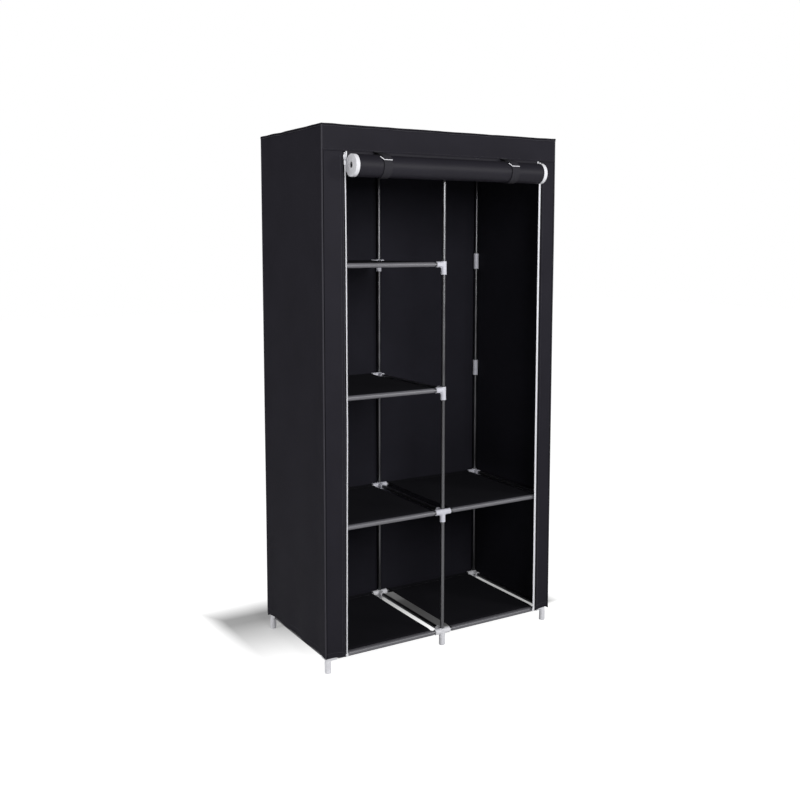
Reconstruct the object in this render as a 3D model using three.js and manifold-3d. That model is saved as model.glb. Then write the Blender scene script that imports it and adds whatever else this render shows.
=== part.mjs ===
// A portable fabric wardrobe, opened: a black steel tube frame held by white plastic connectors,
// six cloth shelves, a hanging rail, and a sewn cloth cover. The cover's door is rolled up under
// the header and held by two straps, and a zip runs down each side of the opening.
// Lengths are millimetres. X runs to the right, Y to the back, Z up, and the floor is at Z = 0.

import * as THREE from "three";
import { mergeVertices } from "three/addons/utils/BufferGeometryUtils.js";
import Module from "manifold-3d";

const wasm = await Module();
wasm.setup();

// Sewn cover, outside sizes
const COVER_WIDTH = 880;
const COVER_DEPTH = 450;
const COVER_HEIGHT = 1680;
const CLOTH = 1.2;
const COVER_SLACK = 4;
const HEADER_DROP = 77;
const STRIP_WIDTH = 63;
const LEFT_STRIP_EXTRA = 8;
const SIDE_HEM_HEIGHT = 52;
const FRONT_HEM_HEIGHT = 45;
const BACK_HEM_HEIGHT = 44;
const HEM_WAVE = 7;
const FOLD_HEIGHT = 460;
const foldDepthShare = 0.7;
const SIDE_FOLDS = 3;
const BACK_FOLDS = 5;
const SIDE_COLUMNS = 12;
const BACK_COLUMNS = 20;
const foldRowShares = [0, 0.15, 0.35, 0.6, 0.8, 1];

// Steel tubes
const TUBE_OD = 13;
const TUBE_WALL = 0.6;
const ROUND_SIDES = 12;

// Plastic connectors and feet
const CONNECTOR_WALL = 2.4;
const ARM_REACH = 29;
const SLEEVE_DROP = 33;
const SLEEVE_RISE = 1;
const STRAIGHT_SLEEVE = 57;
const FOOT_OD = 20;
const FOOT_FLOOR = 4;
const TEE_COLLAR = 46;

// Shelf levels: the first level's tube axis above the floor, then equal steps up to the top frame
const FIRST_LEVEL = 47;
const LEFT_SHELVES = 4;
const RIGHT_SHELVES = 2;

// Cloth shelves, with a sewn hem round the front and the back rail
const SHELF_CLOTH = 1;
const HEM_CLOTH = 0.8;
const SHELF_END_GAP = 8;

// Rolled door
const ROLL_PITCH = 2.32;
const ROLL_AIR = 0.6;
const ROLL_CORE = 9;
const ROLL_TOP_GAP = 9;
const ROLL_LEFT_DRAW_IN = 1;
const ROLL_RIGHT_DRAW_IN = 16;
const ROLL_STEPS = 24;

// Straps that hold the roll
const TIE_WIDTH = 28;
const TIE_CLOTH = 1.2;
const LEFT_TIE_PLACE = -252;
const RIGHT_TIE_PLACE = 222;
const TIE_SEAM = 10;
const TIE_BEND = 2;
const TIE_STEPS = 18;

// Zip chains, sliders and pulls
const CHAIN_WIDTH = 6;
const CHAIN_THICKNESS = 2.4;
const STOP_HEIGHT = 10;
const STOP_THICKNESS = 4;
const SLIDER_HEIGHT = 14;
const SLIDER_TOP_GAP = 12;
const SLIDER_PLATE = 1.4;
const SLIDER_BRIDGE = 1.7;
const BAIL_HEIGHT = 9;
const BAIL_WIDTH = 2.4;
const BAIL_REACH = 4;
const BAIL_BAR = 1.4;
const PIN_DIAMETER = 1.4;
const PULL_WIDTH = 7;
const PULL_LENGTH = 22;
const PULL_THICKNESS = 1.4;
const PULL_WINDOW = 8;
const PULL_SIDE_GAP = 0.5;

// Clearance between pieces that touch, and how far a cut runs past a face
const SEAT_GAP = 0.3;
const OVERRUN = 1;

// A bent cloth's outline reaches no further at a sharp corner than half its thickness over this share
const mitreLimitShare = 0.5;

// Sizes worked out from the ones above
const tubeRadius = TUBE_OD / 2;
const boreRadius = tubeRadius + SEAT_GAP;
const sleeveRadius = boreRadius + CONNECTOR_WALL;
const footRadius = FOOT_OD / 2;
const columnInset = CLOTH + COVER_SLACK + Math.max(footRadius, sleeveRadius);
const columnX = COVER_WIDTH / 2 - columnInset;
const columnY = COVER_DEPTH / 2 - columnInset;
const sleeveTop = sleeveRadius + SLEEVE_RISE;
const topLevel = COVER_HEIGHT - CLOTH - SEAT_GAP - sleeveTop;
const levelPitch = (topLevel - FIRST_LEVEL) / LEFT_SHELVES;
const panelTop = COVER_HEIGHT - CLOTH - SEAT_GAP;
const panelHalfWidth = COVER_WIDTH / 2 - CLOTH - SEAT_GAP;
const openingHalf = COVER_WIDTH / 2 - STRIP_WIDTH;
const openingLeft = -openingHalf + LEFT_STRIP_EXTRA;
const seamHeight = COVER_HEIGHT - HEADER_DROP;
const frontFace = -COVER_DEPTH / 2;
const clothPlane = frontFace + CLOTH / 2;

const steel = new THREE.MeshStandardMaterial({ color: 0x17171a, roughness: 0.25, metalness: 0.6 });
const whitePlastic = new THREE.MeshStandardMaterial({ color: 0xeeeef4, roughness: 0.45 });
const coverCloth = new THREE.MeshStandardMaterial({ color: 0x2c2c31, roughness: 0.9 });
const shelfCloth = new THREE.MeshStandardMaterial({ color: 0x232327, roughness: 0.9 });
const strapCloth = new THREE.MeshStandardMaterial({ color: 0x26262b, roughness: 0.95 });
const zipPlastic = new THREE.MeshStandardMaterial({ color: 0xf4f4f6, roughness: 0.5 });

const wardrobe = new THREE.Group();

// Adds a sub-part to the model
function addPart(name, geometry, material) {
  const mesh = new THREE.Mesh(geometry, material);
  mesh.name = name;
  wardrobe.add(mesh);
}

// Turns a closed geometry into a solid that can be joined or cut
function toSolid(geometry) {
  const bare = geometry.index ? geometry.toNonIndexed() : geometry.clone();
  bare.deleteAttribute("normal");
  bare.deleteAttribute("uv");
  const merged = mergeVertices(bare);
  const mesh = new wasm.Mesh({
    numProp: 3,
    vertProperties: merged.attributes.position.array,
    triVerts: new Uint32Array(merged.index.array),
  });
  return new wasm.Manifold(mesh);
}

// Turns a solid back into a geometry
function toGeometry(solid) {
  const mesh = solid.getMesh();
  const geometry = new THREE.BufferGeometry();
  geometry.setAttribute("position", new THREE.BufferAttribute(mesh.vertProperties, 3));
  geometry.setIndex(new THREE.BufferAttribute(mesh.triVerts, 1));
  return geometry;
}

// A box between two corners, given in any order
function block(a, b) {
  const size = a.map((value, i) => Math.abs(b[i] - value));
  const middle = a.map((value, i) => (value + b[i]) / 2);
  return new THREE.BoxGeometry(...size).translate(...middle);
}

// A round bar along an axis, from one height, depth or width to another
function bar(axis, radius, from, to) {
  const geometry = new THREE.CylinderGeometry(radius, radius, Math.abs(to - from), ROUND_SIDES);
  return turnAlong(axis, geometry, (from + to) / 2);
}

// A pipe along an axis, open at both ends
function pipe(axis, outer, inner, from, to) {
  const half = Math.abs(to - from) / 2;
  const profile = [
    new THREE.Vector2(inner, -half),
    new THREE.Vector2(outer, -half),
    new THREE.Vector2(outer, half),
    new THREE.Vector2(inner, half),
    new THREE.Vector2(inner, -half),
  ];
  return turnAlong(axis, new THREE.LatheGeometry(profile, ROUND_SIDES), (from + to) / 2);
}

// Turns a shape that stands along its own Y so that it lies along another axis, centred on a place
function turnAlong(axis, geometry, middle) {
  if (axis === "x") return geometry.rotateZ(Math.PI / 2).translate(middle, 0, 0);
  if (axis === "z") return geometry.rotateX(Math.PI / 2).translate(0, 0, middle);
  return geometry.translate(0, middle, 0);
}

// Extrudes an outline drawn in depth and height along the width
function alongWidth(shape, from, to) {
  const length = to - from;
  const geometry = new THREE.ExtrudeGeometry(shape, { depth: length, bevelEnabled: false, steps: 1 });
  return geometry.rotateX(Math.PI / 2).rotateZ(Math.PI / 2).translate(from, 0, 0);
}

// The outline of a strip of cloth that follows a path, as a closed shape
function bandShape(path, thickness) {
  const near = [];
  const far = [];
  path.forEach((point, i) => {
    const before = path[Math.max(i - 1, 0)];
    const after = path[Math.min(i + 1, path.length - 1)];
    const into = i > 0 ? point.clone().sub(before).normalize() : after.clone().sub(point).normalize();
    const out = i < path.length - 1 ? after.clone().sub(point).normalize() : into;
    const along = into.clone().add(out).normalize();
    const stretch = thickness / 2 / Math.max(along.dot(into), mitreLimitShare);
    const side = new THREE.Vector2(-along.y, along.x).multiplyScalar(stretch);
    near.push(point.clone().add(side));
    far.push(point.clone().sub(side));
  });
  return new THREE.Shape([...near, ...far.reverse()]);
}

// The height of a shelf level, counted from one, the top frame being the last
function levelHeight(level) {
  return FIRST_LEVEL + (level - 1) * levelPitch;
}

// Posts: one long tube for each corner and for the middle of the front and the back
function addColumns() {
  const top = topLevel + sleeveTop - CONNECTOR_WALL - SEAT_GAP;
  for (const [side, y] of [["front", -columnY], ["back", columnY]]) {
    for (const [place, x] of [["left", -columnX], ["middle", 0], ["right", columnX]]) {
      const tube = pipe("z", tubeRadius, tubeRadius - TUBE_WALL, FOOT_FLOOR + SEAT_GAP, top);
      addPart(`column_${side}_${place}`, tube.translate(x, y, 0), steel);
    }
    for (let level = RIGHT_SHELVES + 1; level <= LEFT_SHELVES; level += 1) {
      const middle = levelHeight(level);
      const half = STRAIGHT_SLEEVE / 2;
      const sleeve = pipe("z", sleeveRadius, boreRadius, middle - half, middle + half);
      addPart(`sleeve_${side}_right_${level}`, sleeve.translate(columnX, y, 0), whitePlastic);
    }
  }
}

// One connector without its bores, at the origin: an upright sleeve, which is a thicker foot at the
// first level, with an arm for each quarter turn
function connectorBody(armTurns, isFoot) {
  let body = toSolid(bar("z", sleeveRadius, -SLEEVE_DROP, sleeveTop));
  if (isFoot) body = body.add(toSolid(bar("z", footRadius, -FIRST_LEVEL, -sleeveTop)));
  for (const turn of armTurns) {
    body = body.add(toSolid(bar("x", sleeveRadius, 0, ARM_REACH).rotateZ((turn * Math.PI) / 2)));
  }
  return body;
}

// The bores of a connector: the upright one for the post and a blind socket for each rail
function connectorBores(railTurns, from, to) {
  let bores = toSolid(bar("z", boreRadius, from, to));
  for (const turn of railTurns) {
    const socket = bar("x", boreRadius, sleeveRadius, ARM_REACH + OVERRUN).rotateZ((turn * Math.PI) / 2);
    bores = bores.add(toSolid(socket));
  }
  return bores;
}

// A depth bar: the tube that runs from front to back at one level, with the connector on each end
function depthBar(level, railTurns, hangingTurn) {
  const height = levelHeight(level);
  const isTop = level === LEFT_SHELVES + 1;
  const isFoot = level === 1;
  const boreBottom = isFoot ? FOOT_FLOOR - height : -SLEEVE_DROP - OVERRUN;
  const boreTop = isTop ? sleeveTop - CONNECTOR_WALL : sleeveTop + OVERRUN;
  let solid = toSolid(bar("y", tubeRadius, -columnY, columnY));
  const hollow = toSolid(bar("y", tubeRadius - TUBE_WALL, -columnY, columnY));
  for (const [y, inwardTurn] of [[-columnY, 1], [columnY, 3]]) {
    const body = connectorBody([...railTurns, inwardTurn], isFoot);
    const bores = connectorBores(railTurns, boreBottom, boreTop);
    solid = solid.add(body.translate([0, y, 0])).subtract(bores.translate([0, y, 0]));
  }
  if (hangingTurn !== null) {
    const angle = (hangingTurn * Math.PI) / 2;
    const collar = bar("y", sleeveRadius, -TEE_COLLAR / 2, TEE_COLLAR / 2);
    const arm = bar("x", sleeveRadius, 0, ARM_REACH).rotateZ(angle);
    const socket = bar("x", boreRadius, sleeveRadius, ARM_REACH + OVERRUN).rotateZ(angle);
    solid = solid.add(toSolid(collar)).add(toSolid(arm)).subtract(toSolid(socket));
  }
  return toGeometry(solid.subtract(hollow)).translate(0, 0, height);
}

// All depth bars: two at each level that has only left shelves, and three at the others
function addDepthBars() {
  for (let level = 1; level <= LEFT_SHELVES + 1; level += 1) {
    const isTop = level === LEFT_SHELVES + 1;
    const hasRight = level <= RIGHT_SHELVES || isTop;
    const name = isTop ? "top" : level;
    addPart(`depth_bar_left_${name}`, depthBar(level, [0], null).translate(-columnX, 0, 0), whitePlastic);
    const middleTurns = hasRight ? [0, 2] : [2];
    addPart(`depth_bar_middle_${name}`, depthBar(level, middleTurns, isTop ? 0 : null), whitePlastic);
    if (hasRight) {
      const right = depthBar(level, [2], isTop ? 2 : null).translate(columnX, 0, 0);
      addPart(`depth_bar_right_${name}`, right, whitePlastic);
    }
  }
}

// A steel tube along X between two sockets
function crossTube(fromColumn, toColumn) {
  const end = sleeveRadius + SEAT_GAP;
  return pipe("x", tubeRadius, tubeRadius - TUBE_WALL, fromColumn + end, toColumn - end);
}

// Rails at the front and the back of every shelf and of the top frame, and the hanging rail
function addRails() {
  for (let level = 1; level <= LEFT_SHELVES + 1; level += 1) {
    const isTop = level === LEFT_SHELVES + 1;
    const name = isTop ? "top" : level;
    for (const [side, y] of [["front", -columnY], ["back", columnY]]) {
      const left = crossTube(-columnX, 0).translate(0, y, levelHeight(level));
      addPart(`rail_${side}_left_${name}`, left, steel);
      if (level > RIGHT_SHELVES && !isTop) continue;
      const right = crossTube(0, columnX).translate(0, y, levelHeight(level));
      addPart(`rail_${side}_right_${name}`, right, steel);
    }
  }
  addPart("hanging_rail", crossTube(0, columnX).translate(0, 0, topLevel), steel);
}

// Points round a circle in depth and height, the angle starting straight up and turning to the back
function circlePoints(middle, radius, firstStep, lastStep) {
  const points = [];
  for (let step = firstStep; step <= lastStep; step += 1) {
    const angle = (step * 2 * Math.PI) / ROUND_SIDES;
    points.push(new THREE.Vector2(middle + radius * Math.sin(angle), radius * Math.cos(angle)));
  }
  return points;
}

// A cloth shelf: a flat sheet whose front and back edges are sewn round the two rails
function shelfGeometry() {
  const hemInside = tubeRadius + SEAT_GAP;
  const hemOutside = hemInside + HEM_CLOTH;
  const under = hemOutside - SHELF_CLOTH;
  const reach = Math.sqrt(hemOutside * hemOutside - under * under);
  const firstStep = 2;
  const frontHem = circlePoints(-columnY, hemOutside, firstStep, ROUND_SIDES);
  const backHem = circlePoints(columnY, hemOutside, 0, ROUND_SIDES - firstStep);
  const outline = [
    ...backHem,
    new THREE.Vector2(columnY - reach, under),
    new THREE.Vector2(-columnY + reach, under),
    ...frontHem,
  ];
  const shape = new THREE.Shape(outline.reverse());
  for (const y of [-columnY, columnY]) {
    shape.holes.push(new THREE.Path(circlePoints(y, hemInside, 0, ROUND_SIDES - 1)));
  }
  const end = ARM_REACH + SHELF_END_GAP;
  return alongWidth(shape, end, columnX - end);
}

// Shelves in both bays, named by bay and by level from the floor up
function addShelves() {
  for (const [bay, x, count] of [["left", -columnX, LEFT_SHELVES], ["right", 0, RIGHT_SHELVES]]) {
    for (let level = 1; level <= count; level += 1) {
      addPart(`shelf_${bay}_${level}`, shelfGeometry().translate(x, 0, levelHeight(level)), shelfCloth);
    }
  }
}

// A hanging cloth panel in X and Z, one cloth thick, whose folds grow towards its waved hem.
// Its outer face is at Y = 0 and the folds go to positive Y, inwards.
function hangingPanel(halfWidth, hemHeight, columns, folds) {
  const foldDepth = (COVER_SLACK - SEAT_GAP) * foldDepthShare;
  const rows = foldRowShares.length;
  const positions = [];
  const corners = (columns + 1) * (rows + 1);
  for (const face of [0, CLOTH]) {
    for (let row = 0; row <= rows; row += 1) {
      for (let column = 0; column <= columns; column += 1) {
        const across = column / columns;
        const swing = (1 - Math.cos(across * folds * 2 * Math.PI)) / 2;
        const hem = hemHeight + HEM_WAVE * swing;
        const share = row < rows ? foldRowShares[row] : 1;
        const height = row < rows ? hem + share * FOLD_HEIGHT : panelTop;
        const fade = (1 - share) * (1 - share);
        positions.push((across * 2 - 1) * halfWidth, face + foldDepth * swing * fade, height);
      }
    }
  }
  const indices = [];
  const at = (column, row, face) => face * corners + row * (columns + 1) + column;
  const quad = (a, b, c, d) => indices.push(a, b, c, a, c, d);
  for (let row = 0; row < rows; row += 1) {
    for (let column = 0; column < columns; column += 1) {
      quad(at(column, row, 0), at(column + 1, row, 0), at(column + 1, row + 1, 0), at(column, row + 1, 0));
      quad(at(column, row, 1), at(column, row + 1, 1), at(column + 1, row + 1, 1), at(column + 1, row, 1));
    }
    quad(at(0, row, 0), at(0, row + 1, 0), at(0, row + 1, 1), at(0, row, 1));
    quad(at(columns, row, 0), at(columns, row, 1), at(columns, row + 1, 1), at(columns, row + 1, 0));
  }
  for (let column = 0; column < columns; column += 1) {
    quad(at(column, 0, 0), at(column, 0, 1), at(column + 1, 0, 1), at(column + 1, 0, 0));
    quad(at(column, rows, 0), at(column + 1, rows, 0), at(column + 1, rows, 1), at(column, rows, 1));
  }
  const geometry = new THREE.BufferGeometry();
  geometry.setAttribute("position", new THREE.Float32BufferAttribute(positions, 3));
  geometry.setIndex(indices);
  return geometry;
}

// The front frame of the cover: the header with a strip down each side of the opening
function coverFront() {
  const shape = new THREE.Shape([
    new THREE.Vector2(-panelHalfWidth, SIDE_HEM_HEIGHT),
    new THREE.Vector2(openingLeft, FRONT_HEM_HEIGHT),
    new THREE.Vector2(openingLeft, seamHeight),
    new THREE.Vector2(openingHalf, seamHeight),
    new THREE.Vector2(openingHalf, FRONT_HEM_HEIGHT),
    new THREE.Vector2(panelHalfWidth, SIDE_HEM_HEIGHT),
    new THREE.Vector2(panelHalfWidth, panelTop),
    new THREE.Vector2(-panelHalfWidth, panelTop),
  ]);
  const sheet = new THREE.ExtrudeGeometry(shape, { depth: CLOTH, bevelEnabled: false, steps: 1 });
  return sheet.rotateX(Math.PI / 2).translate(0, frontFace + CLOTH, 0);
}

// The sewn cover, one node for each of its cloth panels
function addCover() {
  const halfWidth = COVER_WIDTH / 2;
  const halfDepth = COVER_DEPTH / 2;
  const left = hangingPanel(halfDepth, SIDE_HEM_HEIGHT, SIDE_COLUMNS, SIDE_FOLDS).rotateZ(-Math.PI / 2);
  const right = hangingPanel(halfDepth, SIDE_HEM_HEIGHT, SIDE_COLUMNS, SIDE_FOLDS).rotateZ(Math.PI / 2);
  const back = hangingPanel(panelHalfWidth, BACK_HEM_HEIGHT, BACK_COLUMNS, BACK_FOLDS).rotateZ(Math.PI);
  addPart("cover_left", left.translate(-halfWidth, 0, 0), coverCloth);
  addPart("cover_right", right.translate(halfWidth, 0, 0), coverCloth);
  addPart("cover_back", back.translate(0, halfDepth, 0), coverCloth);
  addPart("cover_front", coverFront(), coverCloth);
  const roof = block([-halfWidth, -halfDepth, COVER_HEIGHT - CLOTH], [halfWidth, halfDepth, COVER_HEIGHT]);
  addPart("cover_top", roof, coverCloth);
}

// The roll's outer radius, from the length of door that is wound on it
const doorLength = seamHeight - FRONT_HEM_HEIGHT;
const rollRadius = Math.sqrt(ROLL_CORE * ROLL_CORE + (doorLength * ROLL_PITCH) / Math.PI);
const doorCloth = ROLL_PITCH - ROLL_AIR;
const rollLine = rollRadius - doorCloth / 2;
const rollY = clothPlane - rollLine;
const rollZ = seamHeight - ROLL_TOP_GAP - rollRadius;
const doorHalf = openingHalf - CHAIN_WIDTH - SLIDER_BRIDGE - SEAT_GAP * 3;
const rollLeft = -doorHalf + LEFT_STRIP_EXTRA + ROLL_LEFT_DRAW_IN;
const rollRight = doorHalf - ROLL_RIGHT_DRAW_IN;

// The path of the rolled door's cloth: a spiral out from the core, then straight up to the header
function rollPath() {
  const turns = (rollRadius - ROLL_CORE) / ROLL_PITCH;
  const steps = Math.round(turns * ROLL_STEPS);
  const path = [];
  for (let step = 0; step <= steps; step += 1) {
    const back = ((steps - step) * 2 * Math.PI) / ROLL_STEPS;
    const radius = rollLine - (back * ROLL_PITCH) / (2 * Math.PI);
    const place = new THREE.Vector2(rollY + radius * Math.cos(back), rollZ - radius * Math.sin(back));
    path.push(place);
  }
  path.push(new THREE.Vector2(clothPlane, seamHeight - SEAT_GAP));
  return path;
}

// The least clear space between neighbouring turns, measured on the path's points and edges
function leastTurnGap(path) {
  let least = Infinity;
  const nearest = new THREE.Vector3();
  for (let i = ROLL_STEPS / 2; i < path.length - 1; i += 1) {
    const point = new THREE.Vector3(path[i].x, path[i].y, 0);
    for (let j = 0; j < i - ROLL_STEPS / 2; j += 1) {
      const edge = new THREE.Line3(
        new THREE.Vector3(path[j].x, path[j].y, 0),
        new THREE.Vector3(path[j + 1].x, path[j + 1].y, 0),
      );
      edge.closestPointToPoint(point, true, nearest);
      least = Math.min(least, point.distanceTo(nearest) - doorCloth);
    }
  }
  return least;
}

// The door, rolled up from its bottom edge a little askew, so that its ends are drawn in unequally
function addDoor() {
  const path = rollPath();
  console.log(`least gap between turns of the rolled door: ${leastTurnGap(path).toFixed(2)} mm`);
  addPart("door_roll", alongWidth(bandShape(path, doorCloth), rollLeft, rollRight), coverCloth);
}

// A strap's path: down behind the roll, under it, up its front, and back to the header's outer face
function tiePath() {
  const radius = rollRadius + SEAT_GAP + TIE_CLOTH / 2;
  const top = seamHeight + TIE_SEAM;
  const outer = new THREE.Vector2(frontFace - SEAT_GAP - TIE_CLOTH / 2, seamHeight + TIE_BEND);
  const reach = Math.hypot(outer.x - rollY, outer.y - rollZ);
  const leave = Math.atan2(outer.y - rollZ, outer.x - rollY) + Math.acos(radius / reach);
  const sweep = 2 * Math.PI - leave;
  const path = [new THREE.Vector2(rollY + radius, top)];
  for (let step = 0; step <= TIE_STEPS; step += 1) {
    const angle = (-sweep * step) / TIE_STEPS;
    path.push(new THREE.Vector2(rollY + radius * Math.cos(angle), rollZ + radius * Math.sin(angle)));
  }
  path.push(outer);
  path.push(new THREE.Vector2(outer.x, top));
  return path;
}

// The two straps that hold the roll under the header
function addTies() {
  for (const [place, x] of [["left", LEFT_TIE_PLACE], ["right", RIGHT_TIE_PLACE]]) {
    const strap = alongWidth(bandShape(tiePath(), TIE_CLOTH), x - TIE_WIDTH / 2, x + TIE_WIDTH / 2);
    addPart(`tie_${place}`, strap, strapCloth);
  }
}

// Where the right zip's pieces stand; the left ones are mirrored, then moved in with the wider left strip
const chainOuter = openingHalf - SEAT_GAP;
const chainInner = chainOuter - CHAIN_WIDTH;
const chainFront = clothPlane - CHAIN_THICKNESS / 2;
const chainBack = clothPlane + CHAIN_THICKNESS / 2;
const plateFront = chainFront - SEAT_GAP - SLIDER_PLATE;
const sliderInner = chainInner - SEAT_GAP - SLIDER_BRIDGE;
const sliderMiddle = (sliderInner + chainOuter) / 2;
const sliderZ = seamHeight - SLIDER_TOP_GAP - SLIDER_HEIGHT / 2;
const pinY = plateFront - (BAIL_REACH - BAIL_BAR) / 2;
const pinZ = sliderZ - BAIL_HEIGHT / 2 + BAIL_BAR + PIN_DIAMETER / 2 + SEAT_GAP;

// A zip chain along the edge of the opening, with its end stop at the hem
function zipChain(side) {
  const chain = block(
    [side * chainInner, chainFront, FRONT_HEM_HEIGHT],
    [side * chainOuter, chainBack, seamHeight - SEAT_GAP],
  );
  const stop = block(
    [side * sliderInner, clothPlane - STOP_THICKNESS / 2, FRONT_HEM_HEIGHT],
    [side * chainOuter, clothPlane + STOP_THICKNESS / 2, FRONT_HEM_HEIGHT + STOP_HEIGHT],
  );
  return toGeometry(toSolid(chain).add(toSolid(stop)));
}

// A slider: a front and a back plate joined beside the chain, and a bail for the pull
function zipSlider(side) {
  const low = sliderZ - SLIDER_HEIGHT / 2;
  const high = sliderZ + SLIDER_HEIGHT / 2;
  const backPlate = chainBack + SEAT_GAP;
  const whole = block(
    [side * sliderInner, plateFront, low],
    [side * chainOuter, backPlate + SLIDER_PLATE, high],
  );
  const track = block(
    [side * (sliderInner + SLIDER_BRIDGE), plateFront + SLIDER_PLATE, low - OVERRUN],
    [side * (chainOuter + OVERRUN), backPlate, high + OVERRUN],
  );
  const bailInner = sliderMiddle - BAIL_WIDTH / 2;
  const bailOuter = sliderMiddle + BAIL_WIDTH / 2;
  const bailLow = sliderZ - BAIL_HEIGHT / 2;
  const bailHigh = sliderZ + BAIL_HEIGHT / 2;
  const bailFront = plateFront - BAIL_REACH;
  const bail = block(
    [side * bailInner, bailFront, bailLow],
    [side * bailOuter, plateFront + SEAT_GAP, bailHigh],
  );
  const eye = block(
    [side * (bailInner - OVERRUN), bailFront + BAIL_BAR, bailLow + BAIL_BAR],
    [side * (bailOuter + OVERRUN), plateFront, bailHigh - BAIL_BAR],
  );
  const body = toSolid(whole).subtract(toSolid(track));
  return toGeometry(body.add(toSolid(bail).subtract(toSolid(eye))));
}

// A pull: a flat tab with a window, whose top edge is the pin that hangs in the slider's bail
function zipPull(side) {
  const halfWidth = PULL_WIDTH / 2;
  const halfWindow = BAIL_WIDTH / 2 + PULL_SIDE_GAP;
  const backFace = pinY + PULL_THICKNESS / 2;
  const frontFaceOfPull = pinY - PULL_THICKNESS / 2;
  const tab = block(
    [side * (sliderMiddle - halfWidth), frontFaceOfPull, pinZ - PULL_LENGTH],
    [side * (sliderMiddle + halfWidth), backFace, pinZ],
  );
  const window = block(
    [side * (sliderMiddle - halfWindow), frontFaceOfPull - OVERRUN, pinZ - PULL_WINDOW],
    [side * (sliderMiddle + halfWindow), backFace + OVERRUN, pinZ + OVERRUN],
  );
  const pin = bar("x", PIN_DIAMETER / 2, sliderMiddle - halfWidth, sliderMiddle + halfWidth);
  const placedPin = pin.translate(side < 0 ? -2 * sliderMiddle : 0, pinY, pinZ);
  return toGeometry(toSolid(tab).subtract(toSolid(window)).add(toSolid(placedPin)));
}

// Both zips, with the sliders parked at the top
function addZips() {
  for (const [place, side, shift] of [["left", -1, LEFT_STRIP_EXTRA], ["right", 1, 0]]) {
    addPart(`zip_chain_${place}`, zipChain(side).translate(shift, 0, 0), zipPlastic);
    addPart(`zip_slider_${place}`, zipSlider(side).translate(shift, 0, 0), zipPlastic);
    addPart(`zip_pull_${place}`, zipPull(side).translate(shift, 0, 0), zipPlastic);
  }
}

addColumns();
addDepthBars();
addRails();
addShelves();
addCover();
addDoor();
addTies();
addZips();

// The origin is on the floor under the middle of the whole object, the rolled door included
const bounds = new THREE.Box3().setFromObject(wardrobe);
wardrobe.position.y = -(bounds.min.y + bounds.max.y) / 2;
wardrobe.updateMatrixWorld(true);

export default wardrobe;
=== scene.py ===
"""The looks of an opened cloth wardrobe: its tube frame, shelves, sewn cover, rolled door and zips."""

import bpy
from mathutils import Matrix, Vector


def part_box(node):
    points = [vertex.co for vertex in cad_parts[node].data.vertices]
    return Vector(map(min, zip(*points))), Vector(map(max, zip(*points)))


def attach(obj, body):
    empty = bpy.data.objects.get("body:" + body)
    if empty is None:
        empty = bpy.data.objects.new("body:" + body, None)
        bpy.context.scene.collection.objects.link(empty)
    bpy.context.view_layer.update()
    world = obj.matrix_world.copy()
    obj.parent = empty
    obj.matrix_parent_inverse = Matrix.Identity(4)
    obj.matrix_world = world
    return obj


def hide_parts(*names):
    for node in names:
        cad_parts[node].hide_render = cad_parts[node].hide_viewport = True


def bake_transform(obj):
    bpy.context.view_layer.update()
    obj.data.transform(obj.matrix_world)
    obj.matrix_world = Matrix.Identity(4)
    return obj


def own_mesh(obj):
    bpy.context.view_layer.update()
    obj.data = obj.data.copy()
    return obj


bl_info = {
    "name": "Portable fabric wardrobe",
    "version": (1, 0, 0),
    "blender": (4, 5, 0),
    "location": "3D View > Sidebar > Wardrobe",
    "description": "Dresses a tube frame with cloth shelves, a sewn cover, a rolled door and two zips",
    "category": "Object",
}

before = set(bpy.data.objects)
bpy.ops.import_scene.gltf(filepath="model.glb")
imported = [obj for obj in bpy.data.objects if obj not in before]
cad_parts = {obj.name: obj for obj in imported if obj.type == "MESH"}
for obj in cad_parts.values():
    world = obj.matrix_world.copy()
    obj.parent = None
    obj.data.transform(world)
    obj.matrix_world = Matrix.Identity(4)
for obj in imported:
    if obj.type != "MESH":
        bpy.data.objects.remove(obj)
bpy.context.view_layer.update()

import math

import bmesh
import bpy
from bpy.props import FloatProperty, FloatVectorProperty, IntProperty, PointerProperty
from bpy.types import Operator, Panel, PropertyGroup
from mathutils import Matrix, Vector, noise

BODY = "wardrobe"


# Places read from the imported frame

def middle_of(node):
    """The middle of a node's box."""
    low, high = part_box(node)
    return (low + high) / 2


def reach_of(node):
    """How near to the middle and how far from it a node's box reaches along the width."""
    low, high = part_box(node)
    return sorted((abs(low.x), abs(high.x)))


LEFT, RIGHT = -1, 1
FRONT, BACK = -1, 1
SIDES = (("left", LEFT), ("right", RIGHT))
ENDS = (("front", FRONT), ("back", BACK))
PLACES = ("left", "middle", "right")
TUBE_RADIUS = (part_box("rail_front_left_1")[1].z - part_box("rail_front_left_1")[0].z) / 2
COLUMNS = {(end, place): middle_of(f"column_{end}_{place}") for end, _ in ENDS for place in PLACES}
LEVEL_NAMES = ("1", "2", "3", "4", "top")
RIGHT_LEVELS = ("1", "2", "top")
LEVELS = [middle_of(f"rail_front_left_{name}").z for name in LEVEL_NAMES]
JOINTS = [
    (place, name, level) for name, level in zip(LEVEL_NAMES, LEVELS) for place in PLACES
    if place != "right" or name in RIGHT_LEVELS
]
ROOF_LOW, ROOF_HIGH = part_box("cover_top")
SIDE_HEM, FRONT_HEM, BACK_HEM = [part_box(f"cover_{name}")[0].z for name in ("left", "front", "back")]
SEAM_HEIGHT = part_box("zip_chain_left")[1].z
CHAIN_LOW, CHAIN_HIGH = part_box("zip_chain_right")
SLIDER_LOW, SLIDER_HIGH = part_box("zip_slider_right")
CLOTH_PLANE = (CHAIN_LOW.y + CHAIN_HIGH.y) / 2
OPENING = {side: reach_of(f"zip_chain_{label}")[1] for label, side in SIDES}
SLIDER = {side: reach_of(f"zip_slider_{label}") for label, side in SIDES}
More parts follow.
